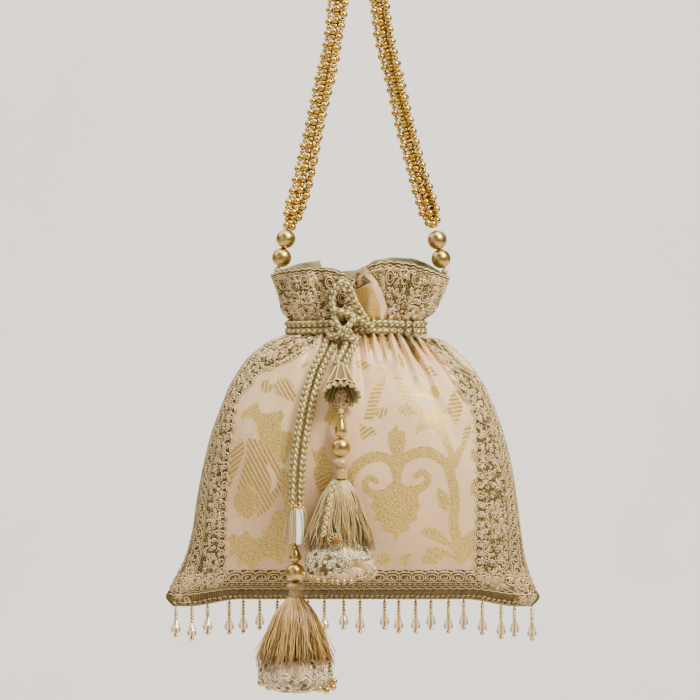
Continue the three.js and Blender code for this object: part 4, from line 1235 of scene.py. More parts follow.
archPoints = [(-40.6, 217.8), (-36.1, 231), (-31.2, 247), (-23.8, 281), (-16.6, 314), (-12.6, 336),
              (-11, 354),
              (-9.6, 368), (0, 379.9), (9.8, 368), (11.8, 354), (14.2, 336), (18.7, 314), (26.6, 281),
              (35.2, 247), (40.1, 230), (43.6, 217.2)]


def handleStrands():
    arch = evenly(smoothLine([(x, 0, h + seamZ) for x, h in archPoints], 24), 1.0)
    t = np.linspace(0, 1, len(arch))
    along = unit(np.gradient(arch, axis=0))
    outward = np.stack([-along[:, 2], np.zeros(len(arch)), along[:, 0]], axis=1)
    turn = 0.7 * np.sin(2 * math.pi * t)
    for n, (sideways, back) in enumerate([(-4.5, -2), (0, -2), (4.5, -2), (-2.25, 2), (2.25, 2)]):
        # each strand wanders a little in the bundle, as loose strings do
        wander = 0.35 * np.sin(2 * math.pi * t * 7 + n * 1.7) * np.sin(math.pi * t)
        x = sideways * np.cos(turn) - back * np.sin(turn) + wander
        y = sideways * np.sin(turn) + back * np.cos(turn)
        gatherEnds = ease(0, 0.035, t) * ease(1, 0.965, t) * 0.62 + 0.38
        route = arch + outward * (x * gatherEnds)[:, None]
        route[:, 1] += y * gatherEnds
        run = runAlong(route)
        count = int(run[-1] / beads["pitch"])
        pitch = run[-1] / count
        stops = (np.arange(count) + (0.5 if n % 2 else 0.25)) * pitch
        stops = stops[stops < run[-1] - 1.2]

        def at(s):
            return np.stack([np.interp(s, run, route[:, k]) for k in range(3)], axis=1)

        way = at(stops + 0.5) - at(stops - 0.5)
        between = stops[:-1] + pitch / 2
        wayBetween = at(between + 0.5) - at(between - 0.5)
        sizes = [beads["strand"] * dice.uniform(0.96, 1.02) for _ in stops]
        parts = gather(strew(smallBead, at(stops), way, sizes),
                       strew(seedBead, at(between), wayBetween, [beads["seed"]] * len(between)),
                       sweep([route[3:-3]], 0.35, 5))
        if n in (1, 3, 4):
            # strings of seeds alone fill the bundle's heart
            inner = arch + outward * (np.array([-2.4, 2.4, 0.3])[[1, 3, 4].index(n)] * gatherEnds)[:, None]
            inner[:, 1] += (0.5 if n == 4 else -0.6) * gatherEnds
            run = runAlong(inner)
            stops = np.arange(2, run[-1] - 2, beads["filler"] * 1.78)
            places = np.stack([np.interp(stops, run, inner[:, k]) for k in range(3)], axis=1)
            parts = gather(parts, strew(seedBead, places, np.gradient(places, axis=0),
                                        [beads["filler"]] * len(stops)))
        keep(f"beadStrand{n + 1}", parts[0], parts[1], "handle", [smallGold],
             [f"handle_strand_{n + 1}"])


handleStrands()

stitches = 7
handleEnds = {"left": [(-42.1, 212.0), (-44.5, 201.2), (-46.9, 193.9)],
              "right": [(45.0, 211.4), (47.2, 200.6), (49.6, 193.4)]}


def placedCopy(shape, place, axis, name, body, material, nodes=(), scale=1.0, smooth=True):
    verts, faces, tone = strew(shape, [np.array(place)], [axis], [scale])
    return keep(name, verts, faces, body, [material], nodes, smooth=smooth)


bigBead = shapeOf(turned(ballProfile(beads["big"], 18, 0.9), 36))
pearlBead = shapeOf(turned(ballProfile(beads["pearl"], 10, 0.5), 20))
for side, ends in handleEnds.items():
    (ux, uh), (lx, lh), (px, ph) = ends
    axis = (ux - lx, 0, uh - lh)
    name = side.capitalize()
    for level, x, h in (("Upper", ux, uh), ("Lower", lx, lh)):
        placedCopy(bigBead, (x, 0, h + seamZ), axis, f"bigBead{name}{level}", "handle",
                   goldBead, [f"handle_bead_{side}_{level.lower()}"])
    placedCopy(pearlBead, (px, 0, ph + seamZ), axis, f"pearl{name}", "handle", ivoryPearl,
               [f"handle_pearl_{side}"])
    # the thread through them, and the stitches that hold it to the collar's corner
    way = 1 if side == "right" else -1
    start = np.array([ux - axis[0] * 0.55, 0, uh + seamZ + 5.8])
    thread = [smoothLine([start, (ux, 0, uh + seamZ), (lx, 0, lh + seamZ), (px, 0, ph + seamZ),
                          (px + 0.3 * way, 0, ph + seamZ - 3.2)], 6)]
    sewn = []
    for k in range(stitches):
        a = k * 2 * math.pi / stitches
        sewn.append(smoothLine([(px + 1.2 * math.cos(a), 1.1 * math.sin(a), ph + seamZ - 1.9),
                                (px + 0.4 * way + 1.9 * math.cos(a), 1.7 * math.sin(a), ph + seamZ - 3.4),
                                (px - 0.3 * way + 1.5 * math.cos(a), 1.4 * math.sin(a), ph + seamZ - 5.6)],
                               5))
    keepWork(f"sewing{name}", gather(sweep(thread, 0.42, 5), sweep(sewn, 0.42, 5, tones=[0.9] * stitches)),
             "handle", silverZari)
print("handle strung")


# tassels

longAt = {"x": -36.4, "y": -35.6}
shortAt = {"x": -10.4, "y": -41.4}


def normalTo(surface, a, s, step):
    # the outward normals of a surface given by angle and share of its height
    alongA = surface(a + step, s) - surface(a - step, s)
    alongS = surface(a, np.minimum(s + step, 1)) - surface(a, np.maximum(s - step, 0))
    return unit(np.cross(alongS, alongA))


def shell(surface, around, rows, wall):
    # a closed cloth wall from such a surface
    a, s = np.meshgrid(np.arange(around) * 2 * math.pi / around, np.linspace(0, 1, rows))
    p = surface(a, s)
    normal = normalTo(surface, a, s, 0.01)
    verts = np.concatenate([p.reshape(-1, 3), (p - normal * wall).reshape(-1, 3)])
    half = rows * around
    j = np.arange(around)
    j2 = (j + 1) % around
    outer = quadGrid(rows, around)[:, [0, 3, 2, 1]]
    last = (rows - 1) * around
    top = np.stack([j, j2, half + j2, half + j], axis=-1)
    foot = np.stack([last + j2, last + j, half + last + j, half + last + j2], axis=-1)
    return verts, np.concatenate([outer, outer[:, ::-1] + half, top, foot])


def roundAxis(at, r, a, flatten, h):
    # points at radius r and angle a round an upright axis, at height h
    return np.stack([at[0] + r * np.cos(a), at[1] + flatten * r * np.sin(a), seamZ + h], axis=-1)


def skirtRadius(t, width):
    return np.interp(t, [0, 0.04, 0.12, 0.3, 0.65, 1.0],
                     [3.4, 4.6, 0.38 * width, 0.6 * width, 0.86 * width, 1.06 * width])


lockCount, strayCount = 34, 44


def silkSkirt(name, at, top, length, width, flatten, material, body, node, counts):
    # threads bound at the head, which fall in locks; the outer ones lie over the inner ones, which are
    # painted darker as shade
    x, y = at
    paths, tones, radii = [], [], []
    locks = [2 * math.pi * (k + dice.uniform(-0.3, 0.3)) / lockCount for k in range(lockCount)]
    lockTones = {lock: dice.choice((0.05, 0.35, 0.6, 0.85, 1.0)) for lock in locks}
    for reach, count, light in counts:
        for k in range(count):
            a = 2 * math.pi * (k + dice.uniform(-0.5, 0.5)) / count
            lock = min(locks, key=lambda c: abs((a - c + math.pi) % (2 * math.pi) - math.pi))
            pull = ((lock - a + math.pi) % (2 * math.pi) - math.pi) * dice.uniform(0.2, 0.75)
            end = dice.uniform(0.86, 1.07)
            t = np.linspace(0, 1, 12)
            flare = reach * (1 + dice.uniform(-0.06, 0.06) * t)
            r = skirtRadius(t * end, width) * flare + 0.9 * np.sin(t * 5 + dice.uniform(0, 6)) * t
            turn = a + pull * t ** 1.4 + 0.05 * np.sin(t * dice.uniform(3, 7) + a) * t
            paths.append(roundAxis(at, r, turn, flatten, top - length * t * end))
            # painted shade and highlight: light makes the inner layers darker, and 0.2 * (0.4 - t) lightens
            # the threads near the head; the locks' tones and the random spread are the silk's own unevenness
            tones.append(np.clip(light * (0.25 + 0.6 * lockTones[lock]) + dice.uniform(-0.4, 0.4)
                                 + 0.2 * (0.4 - t), 0, 1))
            radii.append(0.30 * (1 - 0.45 * t))
    for k in range(strayCount):
        # stray threads stand away
        a = dice.uniform(0, 2 * math.pi)
        t = np.linspace(0, 1, 12)
        r = skirtRadius(t, width) * (1 + dice.uniform(0.01, 0.17) * t ** 3)
        turn = a + dice.uniform(-0.4, 0.4) * t ** 2 + 0.06 * np.sin(t * 9 + a)
        paths.append(roundAxis(at, r, turn, flatten, top - length * t * dice.uniform(0.8, 0.98)))
        tones.append(np.full(12, dice.uniform(0.6, 1.0)))
        radii.append(np.full(12, 0.21))
    threads = sweep(paths, radii, 3, None, tones)

    # a dark cone inside the threads: painted shade that fills the gaps between them
    def heart(a, s):
        r = skirtRadius(s * 0.97, width) * (0.60 + 0.03 * np.sin(a * 23))
        return roundAxis(at, r, a, flatten, top - 0.2 - length * 0.95 * s)

    verts, faces = shell(heart, 92, 8, 0.8)
    inner = (verts, faces.tolist(), np.full(len(verts), 0.12))
    keepWork(name, gather(threads, inner), body, material, [node])


def drawnHead(name, at, top, length, body, node):
    # a wooden head wound with floss: each turn of the winding stands up a little
    x, y = at
    turns = int(length / 0.42)
    outline = [(0, 2.2), (-0.04, 3.4), (-0.12, 4.4), (-0.22, 4.9), (-0.32, 4.9), (-0.42, 4.3), (-0.49, 3.3),
               (-0.52, 2.8), (-0.55, 3.4), (-0.6, 3.65), (-1, 3.7)]
    share, radius = [v[0] for v in outline], [v[1] for v in outline]
    profile = [(0, 0.9)]
    for k in range(turns + 1):
        s = -k / turns
        r = float(np.interp(s, share[::-1], radius[::-1]))
        profile += [(s * length - 0.02, r - 0.07), (s * length - 0.20, r + 0.06)]
    profile.append((profile[-1][0] - 0.05, 0.9))
    head = turned(profile, 36, (x, y, seamZ + top))
    verts, faces = shapeOf(head)
    tone = 0.55 + 0.4 * np.sin(np.arctan2(verts[:, 1] - y, verts[:, 0] - x) * 3 + verts[:, 2] * 2.1) ** 2
    keep(name, verts, faces, body, [satinWrap], [node], {"tone": tone})


def dropBead(name, at, top, length, body, node):
    outline = [(0, 1.2), (-0.02, 1.75), (-0.06, 1.95), (-0.10, 1.55), (-0.13, 1.5), (-0.2, 1.75),
               (-0.32, 2.25),
               (-0.45, 2.85), (-0.58, 3.4), (-0.70, 3.7), (-0.80, 3.6), (-0.88, 3.1), (-0.94, 2.3),
               (-0.955, 2.0), (-0.975, 2.15), (-1, 1.8)]
    profile = [(share * length, radius) for share, radius in outline]
    placedCopy(shapeOf(turned(profile, 32)), (*at, seamZ + top), (0, 0, 1), name, body,
               goldBead, [node])


def bead(name, at, centre, body, node):
    placedCopy(bigBead, (*at, seamZ + centre), (0, 0, 1), name, body, goldBead, [node])


class Cuff:
    # a puff of cloth gathered under the threads, with silver lace on it
    def __init__(self, x, y, top, height, width, flatten, outline):
        self.x, self.y, self.top, self.height, self.width, self.flatten = x, y, top, height, width, flatten
        fine = smoothLine(outline, 8)
        run = runAlong(fine * [height, width])
        self.run, self.fine = run / run[-1], fine
        self.drop = float(run[-1])

    def surface(self, a, s):
        h = np.interp(s, self.run, self.fine[:, 0]) * self.height
        r = np.interp(s, self.run, self.fine[:, 1]) * self.width
        r = r * (1 + 0.022 * np.sin(a * 9 + 1) + 0.016 * np.sin(a * 17 + s * 3)
                 + 0.012 * np.sin(a * 4 + s * 7))
        return roundAxis((self.x, self.y), r, a, self.flatten, self.top - h)

    def lay(self, a, s, lift=0.3):
        a, s = np.broadcast_arrays(np.asarray(a, float), np.clip(np.asarray(s, float), 0.0, 1.0))
        p = self.surface(a, s)
        normal = normalTo(self.surface, a, s, 0.02)
        return p + normal * lift, normal

    def cloth(self, name, body, node, material):
        verts, faces = shell(self.surface, 120, 22, 0.8)
        # painted shade and light: the tone rises and falls round the puff with its nine gathers
        tone = (0.62 if material == peachCloth else 0.2) \
            + 0.16 * np.sin(np.arctan2(verts[:, 1] - self.y, verts[:, 0] - self.x) * 9)
        keep(name, verts, faces, body, [material], [node], {"tone": tone})

    def lace(self, name, body, covered):
        # scrolls over the lace's ground, then its corded edges with their loops
        threads = Threads()
        rows = max(3, int(self.drop / 2.2))
        for row in range(rows):
            s = (row + 0.5) / rows
            r = float(np.interp(s, self.run, self.fine[:, 1])) * self.width
            count = max(6, int(2 * math.pi * r * 0.92 / 2.4))
            for k in range(count):
                a = 2 * math.pi * (k + 0.5 * (row % 2) + dice.uniform(-0.2, 0.2)) / count
                if not covered(a, s):
                    continue
                da, ds = spiralPoints(dice.uniform(1.15, 1.7), dice.uniform(1.0, 1.5), dice.uniform(0, 6.28))
                threads.put(self.lay(a + da / max(r, 1), s + ds / self.drop, 0.3 + 0.25 * dice.random()),
                            dice.choice((0.05, 0.5, 0.8, 1.0, 1.0)), dice.uniform(0.3, 0.45))
        for s, radius, wobble in ((0.985, 0.5, 0.006), (0.93, 0.4, 0.02), (0.5, 0.42, 0.05),
                                  (0.44, 0.36, 0.05)):
            a = np.linspace(0, 2 * math.pi, 150)
            keepIt = [covered(v, s) or s > 0.9 for v in a]
            cut = np.flatnonzero(np.diff(np.array(keepIt, int)))
            for piece in np.split(np.arange(len(a)), cut + 1):
                if len(piece) > 6 and keepIt[piece[2]]:
                    threads.put(self.lay(a[piece], s + wobble * np.sin(a[piece] * 11), 0.45), 0.95, radius)
        count = int(2 * math.pi * self.width * 0.9 / 3.4)
        for k in range(count):
            a = 2 * math.pi * k / count
            t = np.linspace(0, math.pi, 9)
            threads.put(self.lay(a + 1.8 / self.width * np.cos(t), 0.9 + 0.10 * np.sin(t), 0.6), 0.95, 0.42)
        keepWork(name, threads.work(), body, laceZari)


# the long tassel: a cap of folded ribbon, beads, threads and a cuff
capLook = {"top": 58.4, "height": 20.2, "halfTop": 4.7, "halfFoot": 6.7, "flatten": 0.82, "wide": 45,
           "narrow": 27}


def ribbonCap():
    # five wide satin folds with a narrow one of gold tissue between each two
    starts, kinds = [], []
    a = 22 - capLook["wide"] / 2
    for k in range(5):
        starts += [a, a + capLook["wide"]]
        kinds += [0 if k == 0 else 2, 1]
        a += capLook["wide"] + capLook["narrow"]
    edges = np.radians(np.array(starts + [starts[0] + 360]) - 90)

    def facet(a):
        turn = (a - edges[0]) % (2 * math.pi) + edges[0]
        k = np.clip(np.searchsorted(edges, turn, side="right") - 1, 0, 9)
        return k, (turn - edges[k]) / (edges[k + 1] - edges[k])

    def surface(a, s):
        k, share = facet(a)
        wide = k % 2 == 0
        span = np.where(wide, capLook["wide"], capLook["narrow"])
        flat = np.cos(np.radians(span / 2)) / np.cos(np.radians((share - 0.5) * span))
        r = (capLook["halfTop"] + (capLook["halfFoot"] - capLook["halfTop"]) * s ** 0.8) * flat
        r = r * np.where(wide, 1.05, 0.93) + 0.25 * s * np.sin(a * 3)
        drop = s * capLook["height"] + np.where(wide, 0.5, -0.4) * s
        return roundAxis((longAt["x"] + 0.8, longAt["y"]), r, a, capLook["flatten"], capLook["top"] - drop)

    around, rows = 120, 12
    verts, faces = shell(surface, around, rows, 0.7)
    middle = (np.arange(around) + 0.5) * 2 * math.pi / around
    kind = np.array([kinds[k] for k in facet(middle)[0]])
    inOuter = np.tile(kind, rows - 1)
    material = np.concatenate([inOuter, inOuter, kind, kind])
    tone = 0.75 + 0.25 * np.sin(np.arctan2(verts[:, 1] - longAt["y"], verts[:, 0] - longAt["x"]) * 31)
    return keep("ribbonCap", verts, faces, "long_cap", [whiteSatin, ribbonZari, silverZari],
                ["long_cap"], {"tone": tone}, faceMaterials=material, smooth=False)


longCap = ribbonCap()
capThreads = []
for k in range(11):
    a = 2 * math.pi * (k + dice.uniform(-0.3, 0.3)) / 11
    foot = dice.uniform(0.75, 1.08)
    capThreads.append(smoothLine(
        [(longAt["x"] + 0.8 + r * math.cos(a + turn), longAt["y"] + 0.82 * r * math.sin(a + turn),
          seamZ + capLook["top"] - capLook["height"] * s)
         for r, s, turn in ((2.2, -0.02, 0), (4.6, 0.02, 0), (5.7, 0.22, 0.05), (6.5, 0.55 * foot, 0.1),
                            (7.3, 0.92 * foot, 0.05), (7.0, 0.98 * foot, 0.2))], 5))
keepWork("capThreads", sweep(capThreads, 0.3, 5, None, [dice.uniform(0.7, 1) for _ in capThreads]),
         "long_cap", ribbonZari)
# a ring of seed beads on the cap, high and low by turns
capRing = [(longAt["x"] + 0.4 + (3.2 + 1.1 * (k % 2)) * math.cos(k * 0.6),
            longAt["y"] + (2.9 + 1.0 * (k % 2)) * math.sin(k * 0.6),
            seamZ + capLook["top"] + 0.9 - 0.9 * (k % 2)) for k in range(21)]
verts, faces, tone = strew(seedBead, np.array(capRing), [(0, 0, 1)] * len(capRing), [1.1] * len(capRing))
keep("capSeeds", verts, faces, "long_cap", [smallGold])

longPlace, shortPlace = (longAt["x"], longAt["y"]), (shortAt["x"], shortAt["y"])
dropBead("longDropBead", longPlace, 36.8, 9.8, "long_tassel", "long_drop_bead")
bead("longRoundBead", longPlace, 21.3, "long_tassel", "long_round_bead")
drawnHead("longHead", longPlace, 15.7, 7.6, "long_tassel", "long_head")
# each layer gives its reach, its thread count and how light it is painted; the inner layers get painted shade
silkSkirt("longSkirt", longPlace, 7.9, 38.6, 20, 0.9, tasselSilk, "long_tassel", "long_skirt",
          [(1.0, 330, 1.0), (0.9, 190, 0.75), (0.76, 120, 0.5)])
longCuff = Cuff(longAt["x"], longAt["y"], -27.8, 18.4, 20.5, 0.85,
                [(0.02, 0.5), (0.03, 0.70), (0.1, 0.86), (0.28, 0.965), (0.5, 0.99), (0.7, 0.9), (0.87, 0.72),
                 (0.97, 0.45), (1.0, 0.2)])
longCuff.cloth("longCuffCloth", "long_tassel", "long_cuff", peachCloth)


def onLongLace(a, s):
    # lace everywhere but a window of plain cloth at the upper front and back
    front = abs((a % math.pi) - math.pi / 2)
    return s > 0.42 or front > 0.5


longCuff.lace("longCuffLace", "long_tassel", onLongLace)
cuffBeads = {"long": 2.05, "short": 1.42}
# a cluster of beads round the long cuff's foot
places = []
for x, h, y in ((-55.8, -43.2, -42), (-55.6, -40.4, -36), (-22.5, -46.4, -45), (-18.6, -47.4, -42),
                (-14.8, -46.0, -37.5), (-14.4, -43.0, -33), (-54.6, -44.2, -30), (-51.5, -46.8, -25),
                (-19.5, -46.6, -27), (-24.5, -47.2, -23.5), (-16.4, -44.8, -30)):
    places.append((x, y, h + 2.3 + seamZ))
verts, faces, tone = strew(shapeOf(turned(ballProfile(1.0, 10, 0.25), 18)), np.array(places),
                           [(1, 0.3, 0.2)] * len(places), [cuffBeads["long"]] * len(places))
keep("longCuffBeads", verts, faces, "long_tassel", [goldBead], ["long_cuff_beads"])

# the thread that runs down through the beads
for name, (x, y), top, foot, body in (("longThread", longPlace, 41.0, 12.0, "long_tassel"),
                                      ("shortThread", shortPlace, 115.6, 84.0, "short_tassel")):
    keepWork(name, sweep([[(x, y, seamZ + h) for h in np.linspace(top, foot, 12)]], 0.5, 6), body,
             satinWrap)


# the short tassel hangs in a bell of piped panels with a pleated frill inside
bellLook = {"panels": 10, "pleats": 15, "length": 16.5, "frill": 21.5}


def leant(p):
    c, s = math.cos(bellMouth["lean"]), math.sin(bellMouth["lean"])
    p = np.asarray(p, float)
    return np.stack([bellMouth["x"] + p[..., 0], bellMouth["y"] + p[..., 1] * c + p[..., 2] * s,
                     seamZ + bellMouth["top"] - p[..., 1] * s + p[..., 2] * c], axis=-1)


def bellOuter(a, s):
    r = np.interp(s, [0, 0.12, 0.45, 0.8, 1.0], [2.6, 3.3, 5.4, 7.9, 9.3])
    r = r * (1 - 0.045 * (1 - np.abs(np.cos(a * bellLook["panels"] / 2))) ** 0.5)
    drop = bellLook["length"] * s + 0.7 * s * np.abs(np.sin(a * bellLook["panels"] / 2))
    return leant(np.stack([r * np.cos(a), r * np.sin(a), -drop + 0.4], axis=-1))


def bellFrill(a, s):
    r = np.interp(s, [0, 0.4, 0.75, 1.0], [2.2, 5.6, 8.4, 10.6])
    r = r * (1 + (0.03 + 0.08 * s) * np.sin(a * bellLook["pleats"]))
    start = 5.5  # mm below the bell's top
    return leant(np.stack([r * np.cos(a), r * np.sin(a), -start - (bellLook["frill"] - start) * s
                           + 0.5 * s * np.cos(a * bellLook["pleats"])], axis=-1))


verts, faces = shell(bellOuter, 100, 12, 0.6)
tone = 0.1 + 0.1 * np.sin(np.arange(len(verts)) * 0.7)
frillAround, frillRows = 156, 9
frillVerts, frillFaces = shell(bellFrill, frillAround, frillRows, 0.4)
frillAngle = np.tile(np.arange(frillAround) * 2 * math.pi / frillAround, 2 * frillRows)
# painted shade and light: the frill is darker in its pleats' hollows and lighter on their ridges
frillPleatShade = 0.55 + 0.45 * np.sin(frillAngle * bellLook["pleats"])
keepWork("pleatedBell", gather((verts, faces.tolist(), tone), (frillVerts, frillFaces.tolist(), frillPleatShade)),
         "short_bell", bellCloth, ["short_bell"])
piping = []
for k in range(bellLook["panels"]):
    a = 2 * math.pi * k / bellLook["panels"]
    s = np.linspace(0.02, 1, 12)
    seam, opposite = [bellOuter(np.full(12, turn), s) for turn in (a, a + math.pi)]
    piping.append(seam + unit(seam - opposite) * 0.2)
rimAngles = np.linspace(0, 2 * math.pi, 121)
piping.append(bellOuter(rimAngles, np.full(121, 1.0)))
piping.append(bellOuter(rimAngles, np.full(121, 0.03)))
edge = bellFrill(np.linspace(0, 2 * math.pi, 241), np.full(241, 1.0))
keepWork("bellPiping", gather(sweep(piping, 0.42, 6, None, [0.95] * len(piping)),
                              sweep([edge], 0.3, 5, None, [0.6])), "short_bell", silverZari)
# a tuft of loose loops at the bell's mouth, and the thread that hangs from it
tuft = []
for k in range(30):
    a, r = dice.uniform(0, 6.28), dice.uniform(0.4, 3.2)
    centre = np.array([shortAt["x"] + r * math.cos(a), -39.6 + r * 0.7 * math.sin(a),
                       seamZ + 121.0 + dice.uniform(-4.0, 3.4)])
    t = np.linspace(0, 2 * math.pi * dice.uniform(0.7, 1.1), 12)
    size = dice.uniform(0.9, 1.6)
    lean = dice.uniform(-0.8, 0.8)
    tuft.append(centre + np.stack([size * np.cos(t), size * np.sin(t) * lean, size * 1.3 * np.sin(t)],
                                  axis=1))
tuft.append([(shortAt["x"], y, seamZ + h) for y, h in ((-39.0, 123), (-40.6, 119), (-41.4, 115.2))])
keepWork("bellTuft", sweep(tuft, 0.3, 5, None, [dice.uniform(0.5, 1.0) for _ in tuft]),
         "short_bell", silverZari)

placedCopy(pearlBead, (*shortPlace, seamZ + 113.2), (0, 0, 1), "shortSeedBead", "short_tassel",
           ivoryPearl, ["short_seed_bead"], scale=1.65 / beads["pearl"])
dropBead("shortDropBead", shortPlace, 111.3, 13.0, "short_tassel", "short_drop_bead")
bead("shortRoundBead", shortPlace, 92.6, "short_tassel", "short_round_bead")
drawnHead("shortHead", shortPlace, 87.0, 11.8, "short_tassel", "short_head")
shortSkirt = {"x": -10.9, "top": 75.0, "length": 38.6, "width": 18.5, "flatten": 0.62}
# each layer gives its reach, its thread count and how light it is painted; the inner layers get painted shade
silkSkirt("shortSkirt", (shortSkirt["x"], shortAt["y"]), shortSkirt["top"], shortSkirt["length"],
          shortSkirt["width"], shortSkirt["flatten"], shortSilk, "short_tassel", "short_skirt",
          [(1.0, 320, 1.0), (0.9, 180, 0.75), (0.76, 110, 0.5)])
shortCuff = Cuff(-11.4, shortAt["y"], 41.2, 21.6, 19, 0.72,
                 [(0.02, 0.32), (0.05, 0.5), (0.16, 0.7), (0.34, 0.86), (0.56, 0.97), (0.78, 1.0),
                  (0.92, 0.95), (1.0, 0.82)])
shortCuff.cloth("shortCuffCloth", "short_tassel", "short_cuff", ribbonZari)


def onShortLace(a, s):
    # the lace leaves the cloth's petals bare at the right of the front
    front = math.degrees(a) % 360
    return not (286 < front < 344 and s > 0.62)


shortCuff.lace("shortCuffLace", "short_tassel", onShortLace)
# peach cloth gathered over the cuff's mouth
verts, faces = shapeOf(turned([(0, 15.7), (1.0, 15.5), (2.6, 10.5), (3.6, 5.0), (4.0, 0.8)], 64))
wave = 1 + 0.03 * np.sin(np.arctan2(verts[:, 1], verts[:, 0]) * 21)
verts = verts * np.stack([wave, shortCuff.flatten * wave, 1 + 0 * wave], axis=1)
droop = 0.3 * np.hypot(verts[:, 0], verts[:, 1]) / 15.4 * np.cos(verts[:, 0] * 1.7)
verts[:, 2] = np.where(verts[:, 2] < 0.1, droop, verts[:, 2])
# painted shade and light: lighter where the 21 gathers bulge out, darker between them
tone = 0.55 + 0.35 * np.sin(np.arctan2(verts[:, 1], verts[:, 0]) * 21)
mouthAt = [shortCuff.x, shortCuff.y, seamZ + shortCuff.top - shortCuff.height + 0.5]
keepWork("shortCuffMouth", (verts + mouthAt, faces, tone), "short_tassel", peachCloth)


def skirtFront(x, t, lift):
    # a place on the short skirt's front at that x and share of its length
    r = float(skirtRadius(t, shortSkirt["width"]))
    share = max(-0.95, min(0.95, (x - shortSkirt["x"]) / r))
    return (x, shortAt["y"] - shortSkirt["flatten"] * r * math.sqrt(1 - share ** 2) - lift,
            seamZ + shortSkirt["top"] - shortSkirt["length"] * t)


# a plait of three strands down the skirt's front
plaitRoute = ((-13.4, 0.06), (-16.0, 0.22), (-17.6, 0.45), (-19.2, 0.66), (-20.4, 0.84))
plaitLine = evenly(smoothLine([skirtFront(x, t, 0.9) for x, t in plaitRoute], 8), 0.5)
run = np.arange(len(plaitLine)) * 0.5
plait = []
for k in range(3):
    t = run * 2 * math.pi / 5.4 + k * 2 * math.pi / 3
    plait.append(plaitLine + np.stack([1.05 * np.sin(t), -0.9 - 0.7 * np.cos(2 * t), 0 * t], axis=1))
keepWork("skirtPlait", sweep(plait, 0.66, 6, None, [1.0, 0.12, 0.95]), "short_tassel", shortSilk)

# an amber bead sewn on with gold loops, over the lace
amberPlace = np.array([-13.4, shortAt["y"] - 14.0, seamZ + 40.0])
jewel = shapeOf(turned([(-1.9, 0.7), (-1.2, 1.7), (0, 2.2), (1.2, 1.7), (1.9, 0.7)], 10))
placedCopy(jewel, amberPlace, (0, -1, 0.3), "amberBead", "short_tassel", amberGlass, (),
           smooth=False)
loops = []
for k in range(11):
    a = 2 * math.pi * k / 11
    t = np.linspace(0, 2 * math.pi, 10)
    middle = amberPlace + np.array([2.9 * math.cos(a), 0.6, 3.2 * math.sin(a)])
    loops.append(middle + np.stack([1.1 * np.cos(t), 0 * t + 0.3 * np.sin(t), 1.1 * np.sin(t)], axis=1))
keepWork("amberLoops", sweep(loops, 0.3, 4, None, [dice.uniform(0.2, 0.8) for _ in loops]),
         "short_tassel", ribbonZari)


def petal(name, place, turn, size):
    # a folded petal: a flattened ball drawn to a tip, its rim turned up
    bpy.ops.object.select_all(action="DESELECT")
    bpy.ops.mesh.primitive_uv_sphere_add(segments=28, ring_count=18, radius=mm)
    piece = bpy.context.object
    bpy.ops.object.mode_set(mode="EDIT")
    bpy.ops.mesh.select_all(action="SELECT")
    bpy.ops.transform.resize(value=size, center_override=(0, 0, 0))
    bpy.ops.object.mode_set(mode="OBJECT")
    verts, faces = shapeOf(piece)
    share = verts[:, 0] / size[0]
    verts[:, 1] += 0.9 * share ** 2 - 0.5 * (verts[:, 2] / size[2]) ** 2
    verts[:, 2] *= 1 - 0.35 * np.clip(share, 0, 1) ** 2
    c, s = math.cos(turn), math.sin(turn)
    spun = np.stack([verts[:, 0] * c - verts[:, 2] * s, verts[:, 1], verts[:, 0] * s + verts[:, 2] * c],
                    axis=1)
    return keepWork(name, (spun + place, faces, 0.6 + 0.4 * np.sin(verts[:, 0] * 2.2)), "short_tassel",
                    peachCloth)


for k, (a, s, turn, size) in enumerate(((296, 0.88, 0.3, (6.0, 1.7, 3.8)), (320, 0.78, 0.7, (5.6, 1.7, 3.9)),
                                        (276, 0.95, 0.1, (6.0, 1.5, 2.8)),
                                        (338, 0.86, 1.0, (4.6, 1.5, 3.2)))):
    petal(f"petal{k + 1}", np.array(shortCuff.lay(math.radians(a), s, 0.8)[0]), turn, size)

# gold beads along the short cuff's edge, at an even spacing
places, ways = [], []
rim = np.linspace(0, 2 * math.pi, 721)
edgeRun = runAlong(shortCuff.surface(rim, np.full(721, 1.0)))
rim = np.interp(np.arange(0, edgeRun[-1] - 2, 3.4), edgeRun, rim)
for k, a in enumerate(rim):
    dip = 0.08 if 300 < math.degrees(a) < 340 else 0.0  # under the petals
    s = 1.0 - 0.16 * math.cos(a) ** 2 - dip + 0.012 * math.sin(k * 2.1)
    p, n = shortCuff.lay(a, s, 2.2)
    places.append(p + np.array([0, -2.2 * max(0, -math.sin(a)), -0.9]))
    ways.append((math.sin(a), -math.cos(a), 0.1 * math.sin(k)))
verts, faces, tone = strew(shapeOf(turned(ballProfile(1.0, 8, 0.25), 14)), np.array(places), ways,
                           [cuffBeads["short"] * dice.uniform(0.9, 1.05) for _ in places])
keep("shortCuffBeads", verts, faces, "short_tassel", [goldBead], ["short_cuff_beads"])
print("tassels tied")


# the fringe

dropPlaces = [-105.7, -96.5, -87.4, -74.9, -66.8, -57.3, -47.2, -38.6, -29.4, -20, -8.8, 0.6, 14.7, 22.9,
              32.7, 41.5, 51.6, 60.4, 71.1, 82, 89.7, 99.8]
stringLengths = [6.3, 8.4, 6.3, 8.4, 8.4]
# a nine-sided drop with a crown of facets, its widest place below its middle
cutDrop = shapeOf(turned([(0, 0.45), (-0.5, 0.9), (-2.5, 1.75), (-4.6, 2.65), (-6.0, 2.85), (-7.2, 2.25),
                          (-8.0, 1.2), (-8.2, 0.6)], 9))


